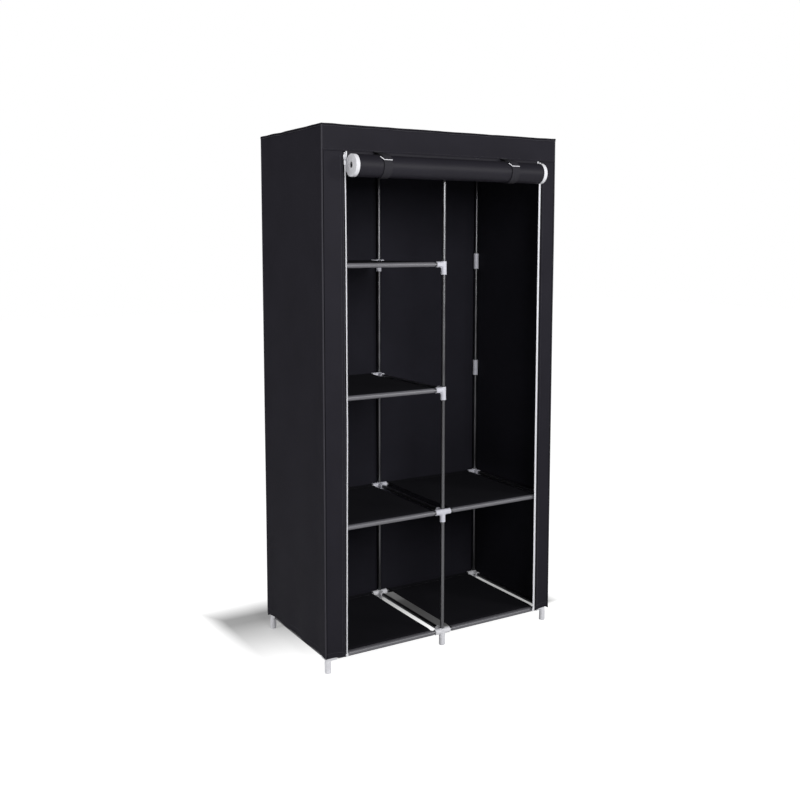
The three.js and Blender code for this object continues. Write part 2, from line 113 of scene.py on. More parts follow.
ROLL_LOW, ROLL_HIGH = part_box("door_roll")
HALF_DOOR_CLOTH = ROLL_HIGH.y - CLOTH_PLANE
ROLL_RADIUS = (CLOTH_PLANE - ROLL_LOW.y + HALF_DOOR_CLOTH) / 2
ROLL_LINE = ROLL_RADIUS - HALF_DOOR_CLOTH
ROLL_Y = CLOTH_PLANE - ROLL_LINE
ROLL_Z = ROLL_LOW.z + ROLL_RADIUS


# Sizes and colours

def length(label, description, default):
    """A length that the panel shows in metres."""
    return FloatProperty(name=label, description=description, default=default, unit="LENGTH", precision=5)


def share(label, description, default, **more):
    """A plain number."""
    return FloatProperty(name=label, description=description, default=default, precision=3, **more)


def whole(label, description, default):
    """A whole number."""
    return IntProperty(name=label, description=description, default=default)


def studio_place(label, description, default):
    """A place in the studio."""
    return FloatVectorProperty(
        name=label, description=description, default=default, size=3, subtype="TRANSLATION"
    )


def colour(label, description, default):
    """A colour in linear light."""
    return FloatVectorProperty(
        name=label, description=description, default=default, size=3, subtype="COLOR", min=0, max=1
    )


class TubeSizes(PropertyGroup):
    wall: length("Tube wall", "Thickness of the steel tubes' walls", 0.0006)
    lip: length("Tube lip", "Rounding at a tube's cut end", 0.0003)
    sides: whole("Tube sides", "Flats round a tube", 28)
    post_gap: length("Post gap", "Space between two posts that meet inside a sleeve", 0.002)


class ConnectorSizes(PropertyGroup):
    wall: length("Wall", "Plastic round a tube, with the clearance", 0.0027)
    clearance: length("Clearance", "Space between a tube and its socket", 0.0003)
    reach: length("Arm reach", "From the post's middle to an arm's end", 0.029)
    drop: length("Sleeve drop", "From a level's middle down to the sleeve's end", 0.033)
    rise: length("Sleeve rise", "How far the sleeve stands above the arms", 0.001)
    rim: length("Rim", "How far the rim at an arm's end stands out", 0.0005)
    rim_width: length("Rim width", "Width of the rim at an arm's end", 0.003)
    foot_radius: length("Foot radius", "Radius of a foot", 0.010)
    foot_floor: length("Foot floor", "Plastic under a post in its foot", 0.004)
    web: length("Web", "Reach of the curved web between an arm and the sleeve", 0.0075)
    web_thickness: length("Web thickness", "Thickness of that web", 0.0036)
    straight: length("Straight sleeve", "Length of a sleeve that only joins two posts", 0.057)
    collar: length("Tee collar", "Length of the tee's collar on its tube", 0.046)
    voxel: length("Remesh size", "Grain of the moulded shape", 0.00105)
    softening: whole("Softening", "How far moulded edges are rounded", 5)


class ShelfSizes(PropertyGroup):
    cloth: length("Cloth", "Thickness of a shelf's cloth", 0.0008)
    gap: length("Gap", "Space between a rail and its hem", 0.0004)
    stitch_back: length("Stitch line", "From a rail's middle back to its hem's stitch line", 0.0135)
    valley: length("Valley", "Height of the stitch line above the rail's middle", 0.0036)
    flat: length("Flat height", "Height of the shelf above the rail's middle", 0.0062)
    sag: length("Sag", "How far the shelf's middle hangs", 0.0035)
    taut: length("Taut", "How far from a rail the cloth begins to hang", 0.03)
    ripple: length("Ripple", "How far the hanging cloth wanders", 0.0009)
    side_hem: length("Side hem", "Width of the folded side edges", 0.009)
    side_fold: length("Side fold", "How far the folded side edges stand up", 0.0005)
    columns: whole("Columns", "Divisions along a shelf's width", 44)
    rows: whole("Rows", "Divisions from front to back", 40)


class CoverSizes(PropertyGroup):
    cloth: length("Cloth", "Thickness of the cover's cloth", 0.0011)
    fold_depth: length("Fold depth", "How far the folds at the hem go inwards", 0.0026)
    fold_height: length("Fold height", "How far the folds run up from the hem", 0.52)
    hem_wave: length("Hem wave", "How far the side hem rises at a fold", 0.007)
    ease: length("Ease", "How far the hanging panels wander from flat", 0.0045)
    strip_ease: length("Strip ease", "How far the strips and the header wander from flat", 0.0014)
    strip_back: length("Strip back", "How far a strip lies back at the zip and under the header", 0.0012)
    strip_lift: length("Strip lift", "How far a strip's hem is lifted between its edges", 0.004)
    corner_ease: length("Corner ease", "How far a corner seam wanders", 0.0016)
    roof_sag: length("Roof sag", "How far the roof hangs between the tubes", 0.0034)
    edge_bump: length("Edge bump", "How far the top edges dip between the connectors", 0.0036)
    hem_fold: length("Hem fold", "Width of the folded hem", 0.015)
    ridge: length("Ridge", "How far doubled cloth stands out", 0.0006)
    piping: length("Piping radius", "Radius of the piping in the seams", 0.0026)
    piping_wave: length("Piping wave", "How far the roof's piping wanders", 0.0014)
    piping_end: length("Piping end", "From the hem up to the end of a corner's piping", 0.0005)
    # The edge line is a thin cord sunk in the cloth, whose lighter tint paints a highlight under the top
    # edges
    line: length("Edge line", "Radius of the light line under the top edges", 0.0012)
    line_drop: length("Edge line drop", "From the roof's piping down to that line", 0.0048)
    line_sunk: length("Edge line sunk", "How deep that line's middle lies in the cloth", 0.0002)
    # The dark line is painted shadow; the light line is a cord whose lighter tint is a painted highlight
    band: length("Band", "Width of the dark and the light line along the opening", 0.0034)
    strip_seam: length("Strip seam", "From the opening's edge to the zip tape's stitch line", 0.0125)
    header_lap: length("Header lap", "How far the header laps over the strips", 0.005)
    header_wave: length("Header wave", "How far the header's lower edge wanders", 0.0006)
    grid: length("Grid", "Spacing of the cloth's mesh", 0.0125)


class DoorSizes(PropertyGroup):
    pitch: length("Pitch", "Distance from turn to turn of the roll", 0.00232)
    cloth: length("Cloth", "Thickness of the rolled cloth", 0.0014)
    core: length("Core", "Radius of the hollow in the middle of the roll", 0.009)
    heart_width: length("Heart width", "Half the width of the flattened first turns", 0.0045)
    heart_height: length("Heart height", "Half the height of the flattened first turns", 0.0085)
    heart_inset: length("Heart inset", "How far the first turns stand inside the roll's ends", 0.0015)
    tape_width: length("Tape width", "Width of the zip tape at each end of the roll", 0.0125)
    tape_cloth: length("Tape", "Thickness of the rolled zip tape", 0.0018)
    seam_overlap: length("Seam overlap", "How far below the header's seam the hanging cloth begins", 0.001)
    side_gap: length("Side gap", "Space between the hanging cloth and a slider", 0.0006)
    turn_steps: whole("Steps", "Divisions of one turn", 40)
    columns: whole("Columns", "Divisions along the roll", 30)
    unevenness: share("Unevenness", "Share of the radius that the roll wanders", 0.012)
    flattened: share("Flattened", "Share of the roll's thickness left when the door is down", 0.06)
    curtain_rows: whole("Rows", "Divisions of the unrolled cloth", 90)
    strap_cloth: length("Strap", "Thickness of the two straps", 0.0011)
    strap_air: length("Strap air", "Space between the roll and a strap", 0.0005)
    strap_sewn: length("Strap end", "How far a strap's end is sewn in above the header's seam", 0.008)
    strap_turn: share("Strap turn", "How far round the roll a strap reaches, in degrees", 224.0)
    hanging_tape: length("Hanging tape", "Width of the zip tape beside the hanging cloth", 0.0045)
    tab_drop: length("Tab drop", "How far the outer tab reaches down over the roll", 0.033)
    patch_edge: length("Patch edge", "Width of the light edge of the fastening patch", 0.0026)
    patch_steps: whole("Patch steps", "Length of the patch in steps of its tab", 7)
    patch_lean: length("Patch lean", "How far the patch's upper corner stands out", 0.010)


class ZipSizes(PropertyGroup):
    tape_cloth: length("Tape", "Thickness of the zip tape", 0.0007)
    tape_reach: length("Tape reach", "How far the tape reaches behind the strip", 0.012)
    tooth_pitch: length("Tooth pitch", "Distance from tooth to tooth", 0.0019)
    tooth_width: length("Tooth width", "Reach of a tooth across the chain", 0.0042)
    tooth_height: length("Tooth height", "Thickness of a tooth", 0.0022)
    tooth_place: length("Tooth place", "From the opening's edge in to the middle of the teeth", 0.0042)
    left_fold: length("Left fold", "How far the left strip's edge laps over its tape", 0.0020)
    left_place: length("Left tooth place", "From the left strip's edge in to the middle of the teeth", 0.0026)
    bare_tape: length("Bare tape", "Width of tape that shows beside the right chain", 0.0020)
    bow: length("Bow", "How far the left edge of the opening is drawn in at half its height", 0.0052)
    right_bow: length("Right bow", "How far the right edge is drawn in at half its height", 0.0012)
    bow_foot: share("Bow foot", "The share of the height below which the left edge runs back out", 0.45)
    bow_shape: share("Bow shape", "How quickly the left edge is drawn in below the top", 0.3)
    wave: length("Wave", "How far the opening's edges wander", 0.0008)
    stop_height: length("Stop height", "Height of the stop at the foot", 0.010)
    stop_thickness: length("Stop thickness", "Thickness of the stop at the foot", 0.004)
    plate: length("Slider plate", "Thickness of a slider's two plates", 0.0014)
    slider_wall: length("Slider wall", "Thickness of the wall between the plates", 0.0017)
    slider_edge: length("Slider edge", "Rounding of a slider's edges", 0.0005)
    bail_height: length("Bail height", "Half the height of a slider's bail", 0.0038)
    bail_reach: length("Bail reach", "How far the bail stands out from its plate", 0.004)
    bail_sunk: length("Bail sunk", "How deep the bail's ends are set in the plate", 0.0004)
    ring: length("Pull ring", "Radius of the bail and of the pull's rounded edge", 0.0007)
    tongue_drop: length("Tongue drop", "From the pull's top down to its tongue", 0.0095)
    tongue_edge: length("Tongue edge", "Rounding of the tongue's edges", 0.0004)
    stitch_pitch: length("Stitch pitch", "Distance from stitch to stitch", 0.0042)
    stitch_length: length("Stitch length", "Length of one stitch", 0.0031)
    stitch_thread: length("Thread", "Thickness of the sewing thread", 0.0008)


class Finishes(PropertyGroup):
    cover: colour("Cover cloth", "The cover's cloth", (0.0180, 0.0168, 0.0232))
    lining: colour("Cover lining", "The inner face of the cover's cloth", (0.0165, 0.0160, 0.0225))
    # Painted highlight: the corner piping, the strips' binding and the line under the roof take this tint,
    # lighter than the cover cloth
    seam: colour("Seams", "The piping and folded edges", (0.046, 0.044, 0.054))
    # Painted shadow: a near-black tint laid along the strips' edges, beside the zip and beside the corner
    # seam
    painted_seam_shadow: colour("Painted seam shadows", "The shadowed cloth beside a seam", (0.0045, 0.0045, 0.006))
    shelf: colour("Shelf cloth", "The shelves' cloth", (0.0120, 0.0117, 0.0150))
    # Painted sheen: the front hems' tint is far lighter than the shelf cloth, standing in for light caught on
    # the rail's curve
    hem: colour("Shelf hem with painted sheen", "The hems round the rails", (0.145, 0.143, 0.160))
    tube: colour("Tubes", "The dark metallic coat of the steel tubes", (0.21, 0.21, 0.22))
    plastic: colour("Connectors", "The moulded connectors", (0.66, 0.66, 0.73))
    # Painted light: the same white plastic as the other connectors, tinted lighter
    foot: colour("Feet", "The moulded feet and lowest connectors", (0.84, 0.84, 0.88))
    zip: colour("Zips", "The zip chains, sliders and tapes", (0.86, 0.86, 0.90))
    strap: colour("Straps", "The straps that hold the roll", (0.028, 0.027, 0.033))
    thread: colour("Thread", "The sewing thread", (0.095, 0.093, 0.105))
    floor: colour("Floor", "The studio's floor", (0.80, 0.80, 0.80))


class StageSizes(PropertyGroup):
    camera: studio_place("Camera", "Where the camera stands", (-1.73148, -2.78891, 1.33086))
    yaw: share("Yaw", "Turn to the right", 0.54037, subtype="ANGLE")
    pitch: share("Pitch", "Tilt upwards", -0.10512, subtype="ANGLE")
    lens: share("Lens", "Focal length in millimetres", 43.92)
    shift: share("Shift", "Upward shift of the lens, as a share of the frame", -0.0675)
    floor_size: length("Floor size", "Side of the square floor", 30.0)
    world: share("World light", "Light from all round", 0.22)
    world_gloss: share("World gloss", "How bright the surroundings are in reflections", 0.04)
    key: share("Key lamp", "The large soft lamp in watts", 56.0)
    key_size: length("Key size", "Side of the square lamp", 1.4)
    key_place: studio_place("Key place", "Where the key lamp hangs", (-0.35, -2.95, 2.15))
    side: share("Side lamp", "The lamp that lights the left side, in watts", 38.0)
    side_size: length("Side lamp size", "Side of the square side lamp", 1.2)
    side_place: studio_place("Side place", "Where the side lamp hangs", (-3.2, 0.3, 2.0))
    strip: share("Strip lamp", "The tall narrow lamp in watts", 23.0)
    strip_width: length("Strip width", "Width of the tall lamp", 0.6)
    strip_height: length("Strip height", "Height of the tall lamp", 1.1)
    strip_place: studio_place("Strip place", "Where the tall lamp stands", (1.9, -2.75, 1.95))
    floor_glow: share("Floor glow", "How bright the floor is where it is in shadow", 0.97)
    # Painted shade: the floor's glow is lowered under each bay and beside the right side tube, as set below
    floor_left: share("Left shade", "How bright the floor is under the left bay, at the back", 0.16)
    floor_right: share("Right shade", "How bright the floor is under the right bay, at the front", 0.075)
    floor_deep: share("Deep shade", "How bright the floor is under the right bay, at the back", 0.035)
    floor_edge: share("Edge shade", "How bright the floor is under the right side tube", 0.30)
    floor_split: length("Shade split", "Where the left bay's shade meets the right bay's", 0.064)
    floor_front: length("Shade front", "How far behind the middle the deep shade begins", -0.062)
    floor_blur: length("Shade blur", "Width of the change from shade to shade", 0.012)


class WardrobeSettings(PropertyGroup):
    tubes: PointerProperty(type=TubeSizes)
    connectors: PointerProperty(type=ConnectorSizes)
    shelves: PointerProperty(type=ShelfSizes)
    cover: PointerProperty(type=CoverSizes)
    door: PointerProperty(type=DoorSizes)
    zips: PointerProperty(type=ZipSizes)
    finishes: PointerProperty(type=Finishes)
    stage: PointerProperty(type=StageSizes)


# Numbers

def between(first, last, part):
    """The value at a share of the way from the first to the last."""
    return first + (last - first) * part


def spread(start, end, steps):
    """Even places from start to end, both included."""
    return [start + (end - start) * step / steps for step in range(steps + 1)]


def clamp(value):
    return min(1.0, max(0.0, value))


def wander(*spot):
    """A smooth wandering value between about -1 and 1."""
    return noise.noise(Vector(spot))


def drift(*spot):
    """A smooth wandering value between about 0 and 1."""
    return 0.5 + 0.5 * wander(*spot)


def hump(part):
    """Nought at both ends and one in the middle."""
    return math.sin(math.pi * part)


# Meshes

ORIGIN = (0, 0, 0)
ROUND_SIDES = 28
CORD_SIDES = 8
MERGE_DISTANCE = 1e-6
# Angles in degrees past which an edge stays sharp
SHARP, SHARP_CLOTH, SHARP_CORD, SHARP_MOULDED = 40.0, 50.0, 60.0, 35.0


class Shape:
    """Collects points, faces and their materials before they become a mesh."""

    def __init__(self):
        self.points, self.faces, self.kinds, self.uvs = [], [], [], []

    def add(self, points, faces, uvs=None, kinds=None):
        first = len(self.points)
        self.points += [Vector(point) for point in points]
        self.uvs += uvs or [(0.0, 0.0)] * len(points)
        self.faces += [[first + index for index in face] for face in faces]
        self.kinds += kinds or [0] * len(faces)

    def grid(self, rows, uvs=None, kinds=None, column_kinds=None):
        """Quads between rows of points, with a material for each row or column of faces."""
        columns = len(rows[0])
        faces, face_kinds = [], []
        for r in range(len(rows) - 1):
            for c in range(columns - 1):
                at = r * columns + c
                faces.append((at, at + 1, at + columns + 1, at + columns))
                face_kinds.append(kinds[r] if kinds else column_kinds[c] if column_kinds else 0)
        flat_uvs = [uv for row in uvs for uv in row] if uvs else None
        self.add([point for row in rows for point in row], faces, flat_uvs, face_kinds)

    def join(self, rings, closed, capped=False):
        """Quads between rings of points."""
        sides = len(rings[0])
        faces = []
        for r in range(len(rings) if closed else len(rings) - 1):
            low, high = r * sides, (r + 1) % len(rings) * sides
            for step in range(sides):
                after = (step + 1) % sides
                faces.append((low + step, low + after, high + after, high + step))
        if capped:
            faces += [range(sides)[::-1], range(len(rings) * sides - sides, len(rings) * sides)]
        self.add([point for ring in rings for point in ring], faces)

    def lathe(self, profile, axis="Z", centre=ORIGIN, sides=ROUND_SIDES, closed=False):
        """Turns a profile of (radius, place along the axis) round an axis."""
        middle = Vector(centre)
        rings = []
        for radius, along in profile:
            ring = [(radius * math.cos(angle), radius * math.sin(angle), along) for angle in circle(sides)]
            rings.append([turned(point, axis) + middle for point in ring])
        self.join(rings, closed)

    def sweep(self, path, radius, sides=CORD_SIDES, closed=False):
        """A round cord along a path of points."""
        last = len(path) - 1
        rings = []
        side = None
        for i, point in enumerate(path):
            before = path[i - 1 if closed else max(i - 1, 0)]
            after = path[(i + 1) % len(path) if closed else min(i + 1, last)]
            along = (after - before).normalized()
            if side is None:
                side = along.orthogonal().normalized()
            side = (side - along * side.dot(along)).normalized()
            up = along.cross(side)
            rings.append([point + radius * (math.cos(t) * side + math.sin(t) * up) for t in circle(sides)])
        self.join(rings, closed, capped=not closed)

    def make(self, name, *materials, smooth_angle=SHARP, solid=True):
        """The finished mesh as an object at the origin."""
        mesh = bpy.data.meshes.new(name)
        mesh.from_pydata(self.points, [], self.faces)
        for finish in materials:
            mesh.materials.append(finish)
        mesh.polygons.foreach_set("material_index", self.kinds)
        layer = mesh.uv_layers.new(name="UVMap")
        for loop in mesh.loops:
            layer.data[loop.index].uv = self.uvs[loop.vertex_index]
        if solid:
            tidy_solid(mesh)
        smooth(mesh, smooth_angle)
        return shown(name, mesh)


def shown(name, data):
    """An object in the scene."""
    made = bpy.data.objects.new(name, data)
    bpy.context.scene.collection.objects.link(made)
    return made


def circle(sides):
    """Even angles round a circle."""
    return [2 * math.pi * step / sides for step in range(sides)]


def turned(local, axis):
    """A point drawn along Z, laid along another axis."""
    x, y, z = local
    return Vector({"X": (z, x, y), "Y": (y, z, x), "Z": (x, y, z)}[axis])


def tidy_solid(mesh):
    """Merges doubled points and turns all faces outwards."""
    work = bmesh.new()
    work.from_mesh(mesh)
    bmesh.ops.remove_doubles(work, verts=work.verts, dist=MERGE_DISTANCE)
    bmesh.ops.recalc_face_normals(work, faces=work.faces)
    work.to_mesh(mesh)
    work.free()


def smooth(mesh, angle):
    """Smooth shading with sharp edges past an angle in degrees."""
    mesh.shade_smooth()
    mesh.set_sharp_from_angle(angle=math.radians(angle))


def face_away(obj, direction):
    """Turns a flat cloth's faces towards one side."""
    total = sum((face.normal * face.area for face in obj.data.polygons), Vector())
    if total.dot(Vector(direction)) < 0:
        obj.data.flip_normals()


def modify(obj, kind, **values):
    """Adds a modifier with its values set."""
    made = obj.modifiers.new(kind, kind)
    for key, value in values.items():
        setattr(made, key, value)
    return made


def bake(obj):
    """Turns an object and its modifiers into one plain mesh."""
    graph = bpy.context.evaluated_depsgraph_get()
    mesh = bpy.data.meshes.new_from_object(obj.evaluated_get(graph))
    mesh.name = obj.name
    old = obj.data
    obj.modifiers.clear()
    obj.data = mesh
    if old.users == 0:
        bpy.data.meshes.remove(old)
    return obj


def sewn_cloth(name, rows, thickness, *materials, uvs=None, facing=None, **kinds):
    """Cloth with its thickness; where it faces one way its second material lines its inner side."""
    shape = Shape()
    shape.grid(rows, uvs, **kinds)
    cloth = shape.make(name, *materials, solid=False)
    if facing:
        face_away(cloth, facing)
    modify(
        cloth, "SOLIDIFY", thickness=thickness, offset=0.0, use_even_offset=True,
        material_offset=1 if facing else 0,
    )
    bake(cloth)
    smooth(cloth.data, SHARP_CLOTH)
    return cloth


def round_cord(name, path, radius, finish, **shape_of):
    """A cord of round section along a path."""
    shape = Shape()
    shape.sweep(path, radius, **shape_of)
    return shape.make(name, finish, smooth_angle=SHARP_CORD)


def placed(obj, slot, body, *nodes):
    """Rides a finished piece on its body, for the nodes that it stands for."""
    if nodes:
        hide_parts(*nodes)
    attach(obj, body)
    return obj


# Node trees

def new_tree(name, kind, inputs, outputs):
    """An empty node group, what it is given and what it puts out."""
    tree = bpy.data.node_groups.new(name, kind)
    for label, socket_kind, value in inputs:
        socket = tree.interface.new_socket(name=label, in_out="INPUT", socket_type=socket_kind)
        if value is not None:
            socket.default_value = value
    for label, socket_kind in outputs:
        tree.interface.new_socket(name=label, in_out="OUTPUT", socket_type=socket_kind)
    return tree, node(tree, "NodeGroupInput").outputs, node(tree, "NodeGroupOutput").inputs


def node(tree, kind, sockets=None, **values):
    """A node with its properties and its sockets set."""
    made = tree.nodes.new(kind)
    for key, value in values.items():
        setattr(made, key, value)
    for label, value in (sockets or {}).items():
        feed(tree, made.inputs[label], value)
    return made


def feed(tree, socket, value):
    """Links a socket to another, or sets its value."""
    if isinstance(value, bpy.types.NodeSocket):
        tree.links.new(value, socket)
    else:
        socket.default_value = value


def reckon(tree, operation, first, second=0.0):
    """A sum of two values."""
    return node(tree, "ShaderNodeMath", {0: first, 1: second}, operation=operation).outputs[0]


def plus(tree, first, second):
    return reckon(tree, "ADD", first, second)


def times(tree, first, second):
    return reckon(tree, "MULTIPLY", first, second)


def remap(tree, value, low, high, new_low=0.0, new_high=1.0):
    """A value carried from one range to another."""
    sockets = {"Value": value, "From Min": low, "From Max": high, "To Min": new_low, "To Max": new_high}
    return node(tree, "ShaderNodeMapRange", sockets).outputs["Result"]


def mix(tree, factor, first, second):
    """A value between two others."""
    return node(tree, "ShaderNodeMix", {0: factor, 2: first, 3: second}, data_type="FLOAT").outputs[0]


def mottle(tree, vector, scale, detail, distortion=0.0):
    """Soft noise between 0 and 1."""
    sockets = {"Vector": vector, "Scale": scale, "Detail": detail, "Distortion": distortion}
    return node(tree, "ShaderNodeTexNoise", sockets).outputs[0]


def stretched(tree, vector, scale):
    """A pattern's coordinates, scaled differently along each axis."""
    return node(tree, "ShaderNodeMapping", {"Vector": vector, "Scale": scale}).outputs[0]


# Rows of stitches and teeth

def row_tree():
    """A node tree that sets small round parts along a path."""
    name = "Row along a path"
    if name in bpy.data.node_groups:
        return bpy.data.node_groups[name]
    tree, given, result = new_tree(name, "GeometryNodeTree", (
        ("Geometry", "NodeSocketGeometry", None), ("Pitch", "NodeSocketFloat", 0.004),
        ("Along", "NodeSocketFloat", 0.003), ("Out", "NodeSocketFloat", 0.0005),
        ("Across", "NodeSocketFloat", 0.0005), ("Variation", "NodeSocketFloat", 0.08),
        ("Seed", "NodeSocketInt", 1), ("Material", "NodeSocketMaterial", None),
    ), (("Geometry", "NodeSocketGeometry"),))
    curve = node(tree, "GeometryNodeMeshToCurve", {0: given["Geometry"]}).outputs[0]
    points = node(
        tree, "GeometryNodeCurveToPoints", {"Curve": curve, "Length": given["Pitch"]}, mode="LENGTH"
    ).outputs
    ball = node(tree, "GeometryNodeMeshUVSphere", {"Segments": 6, "Rings": 4, "Radius": 0.5})
    size = node(tree, "ShaderNodeCombineXYZ", {0: given["Along"], 1: given["Out"], 2: given["Across"]})
    part = node(tree, "GeometryNodeTransform", {"Geometry": ball.outputs["Mesh"], "Scale": size.outputs[0]})
    turn = node(tree, "FunctionNodeAlignRotationToVector", {"Vector": points["Tangent"]}, axis="X")
    vary = node(tree, "FunctionNodeRandomValue", {"Seed": given["Seed"]}, data_type="FLOAT")
    lowest, highest = [socket for socket in vary.inputs if socket.enabled and socket.name in ("Min", "Max")]
    feed(tree, lowest, reckon(tree, "SUBTRACT", 1.0, given["Variation"]))
    feed(tree, highest, plus(tree, 1.0, given["Variation"]))
    parts = node(tree, "GeometryNodeInstanceOnPoints", {
        "Points": points["Points"], "Instance": part.outputs["Geometry"], "Rotation": turn.outputs[0],
        "Scale": [socket for socket in vary.outputs if socket.enabled][0],
    })
    real = node(tree, "GeometryNodeRealizeInstances", {0: parts.outputs[0]})
    soft = node(tree, "GeometryNodeSetShadeSmooth", {"Geometry": real.outputs[0]})
    sockets = {"Geometry": soft.outputs[0], "Material": given["Material"]}
    feed(tree, result["Geometry"], node(tree, "GeometryNodeSetMaterial", sockets).outputs[0])
    return tree


def row_of_parts(name, paths, values):
    """Small parts along several paths, as one plain mesh."""
    points, edges = [], []
    for path in paths:
        first = len(points)
        points += path
        edges += [(first + i, first + i + 1) for i in range(len(path) - 1)]
    mesh = bpy.data.meshes.new(name)
    mesh.from_pydata(points, edges, [])
    made = shown(name, mesh)
    row = modify(made, "NODES", node_group=row_tree())
    for item in row.node_group.interface.items_tree:
        if item.in_out == "INPUT" and item.name in values:
            row[item.identifier] = values[item.name]
    return bake(made)


def stitches(name, paths, settings, seed):
    """Rows of sewing stitches along paths."""
    zips = settings.zips
    return row_of_parts(name, paths, {
        "Pitch": zips.stitch_pitch, "Along": zips.stitch_length, "Out": zips.stitch_thread,
        "Across": zips.stitch_thread, "Variation": 0.1, "Seed": seed,
        "Material": material(settings, "Sewing thread"),
    })


# Materials

WHITE = (1.0, 1.0, 1.0, 1.0)
FINISH_OUTPUTS = (
    ("Color", "NodeSocketColor"), ("Roughness", "NodeSocketFloat"), ("Height", "NodeSocketFloat"),
)


def bonded_cloth(tree, given):
    """Felted, point-bonded cloth: fibres, pressed dots and a tone that varies in soft patches at random."""
    vector = given["Vector"]
    scale = reckon(tree, "DIVIDE", 1.0, given["Dot pitch"])
    dots = node(tree, "ShaderNodeTexVoronoi", {"Vector": vector, "Scale": scale, "Randomness": 0.0})
    pressed = remap(tree, dots.outputs["Distance"], 0.16, 0.34)
    fibres = mottle(tree, stretched(tree, vector, (900.0, 260.0, 900.0)), 1.0, 3.0, 1.2)
    cloudy = remap(tree, mottle(tree, vector, 7.0, 3.0), 0.3, 0.7, -0.5, 0.5)
    speckle = remap(tree, mottle(tree, vector, 420.0, 2.0), 0.3, 0.7, -0.5, 0.5)
    shade = plus(tree, times(tree, plus(tree, cloudy, speckle), given["Mottle"]), 1.0)
    shade = times(tree, shade, remap(tree, pressed, 0.0, 1.0, 0.9, 1.0))
    rough = plus(tree, given["Roughness"], remap(tree, fibres, 0.2, 0.8, -0.08, 0.08))
    return shade, rough, plus(tree, times(tree, fibres, 0.6), times(tree, pressed, 0.4))


def moulded_plastic(tree, given):
    """Moulded plastic: a fine grain, faint flow marks and handled patches."""
    vector = given["Vector"]
    flow = mottle(tree, stretched(tree, vector, (30.0, 30.0, 110.0)), 1.0, 3.0, 0.6)
    shade = plus(tree, times(tree, remap(tree, flow, 0.3, 0.7, -1.0, 1.0), given["Uneven"]), 1.0)
    rough = plus(tree, given["Roughness"], remap(tree, flow, 0.2, 0.8, -0.07, 0.07))
    return shade, rough, mottle(tree, vector, 1500.0, 2.0)


def coated_steel(tree, given):
    """A coat on steel: a faint ripple, dust and scuffs."""
    vector = given["Vector"]
    cloudy = mottle(tree, vector, 22.0, 4.0)
    specks = remap(tree, mottle(tree, vector, 900.0, 1.0), 0.66, 0.76)
    dust = times(tree, times(tree, specks, cloudy), given["Dust"])
    rough = plus(tree, given["Roughness"], remap(tree, cloudy, 0.3, 0.7, -0.05, 0.09))
    rough = plus(tree, rough, times(tree, dust, 0.3))
    return plus(tree, dust, 1.0), rough, mottle(tree, vector, 260.0, 2.0)


# Each group's builder and the values that it takes beside the pattern's coordinates and the colour
FINISH_GROUPS = {
    "Bonded cloth": (bonded_cloth, {"Dot pitch": 0.0022, "Mottle": 0.16, "Roughness": 0.8}),
    "Moulded plastic": (moulded_plastic, {"Roughness": 0.4, "Uneven": 0.05}),
    "Coated steel": (coated_steel, {"Dust": 0.5, "Roughness": 0.2}),
}


def finish_group(name):
    """A group that makes a finish's colour, roughness and relief."""
    if name in bpy.data.node_groups:
        return bpy.data.node_groups[name]
    build, values = FINISH_GROUPS[name]
    inputs = [("Vector", "NodeSocketVector", None), ("Color", "NodeSocketColor", WHITE)]
    inputs += [(label, "NodeSocketFloat", value) for label, value in values.items()]
    tree, given, result = new_tree(name, "ShaderNodeTree", inputs, FINISH_OUTPUTS)
    shade, rough, height = build(tree, given)
    shaded = node(tree, "ShaderNodeVectorMath", {0: given["Color"], "Scale": shade}, operation="SCALE")
    for label, value in (("Color", shaded.outputs[0]), ("Roughness", rough), ("Height", height)):
        feed(tree, result[label], value)
    return tree


# Each cloth's colour, its pattern's coordinates, its gloss and its group's values
CLOTHS = {
    "Cover cloth": ("cover", "UV", 0.1, {"Roughness": 0.62}),
    "Cover lining": ("lining", "UV", 0.12, {"Roughness": 0.85}),
    "Painted seam shadow": ("painted_seam_shadow", "UV", 0.05, {"Roughness": 0.9}),
    "Rolled cloth": ("cover", "UV", 0.22, {"Roughness": 0.5}),
    "Door cloth": ("cover", "Object", 0.2, {"Roughness": 0.62}),
    "Seam cloth with painted highlight": ("seam", "Object", 0.2, {"Dot pitch": 0.0012, "Roughness": 0.7}),
    "Shelf cloth": ("shelf", "UV", 0.12, {"Roughness": 0.85}),
    # The front hem's lighter tint is a painted sheen
    "Shelf hem with painted sheen": ("hem", "UV", 1.0, {"Mottle": 0.12, "Roughness": 0.36}),
    "Strap cloth": ("strap", "Object", 0.2, {"Dot pitch": 0.0016, "Roughness": 0.75}),
    "Sewing thread": ("thread", "Object", 0.2, {"Dot pitch": 0.0006, "Roughness": 0.6}),
    "Zip tape": ("zip", "Object", 0.2, {"Dot pitch": 0.0009, "Mottle": 0.06, "Roughness": 0.7}),
}
CLOTH_RELIEF = (0.35, 0.0003)
# Each hard finish's group, colour, relief, group's values and shader's values
HARD_FINISHES = {
    "White plastic": ("Moulded plastic", "plastic", (0.12, 0.0001), {"Roughness": 0.38}, {"IOR": 1.49}),
    # The feet's finish is the connectors' plastic tinted lighter: painted light
    "Foot plastic painted lighter": ("Moulded plastic", "foot", (0.05, 0.0001), {"Roughness": 0.4}, {}),
    "White nylon": (
        "Moulded plastic", "zip", (0.1, 0.00005), {"Roughness": 0.34, "Uneven": 0.03}, {"IOR": 1.53}
    ),
    "Tube finish": (
        "Coated steel", "tube", (0.02, 0.000004), {"Roughness": 0.34, "Dust": 0.05}, {"Metallic": 1.0}
    ),
}


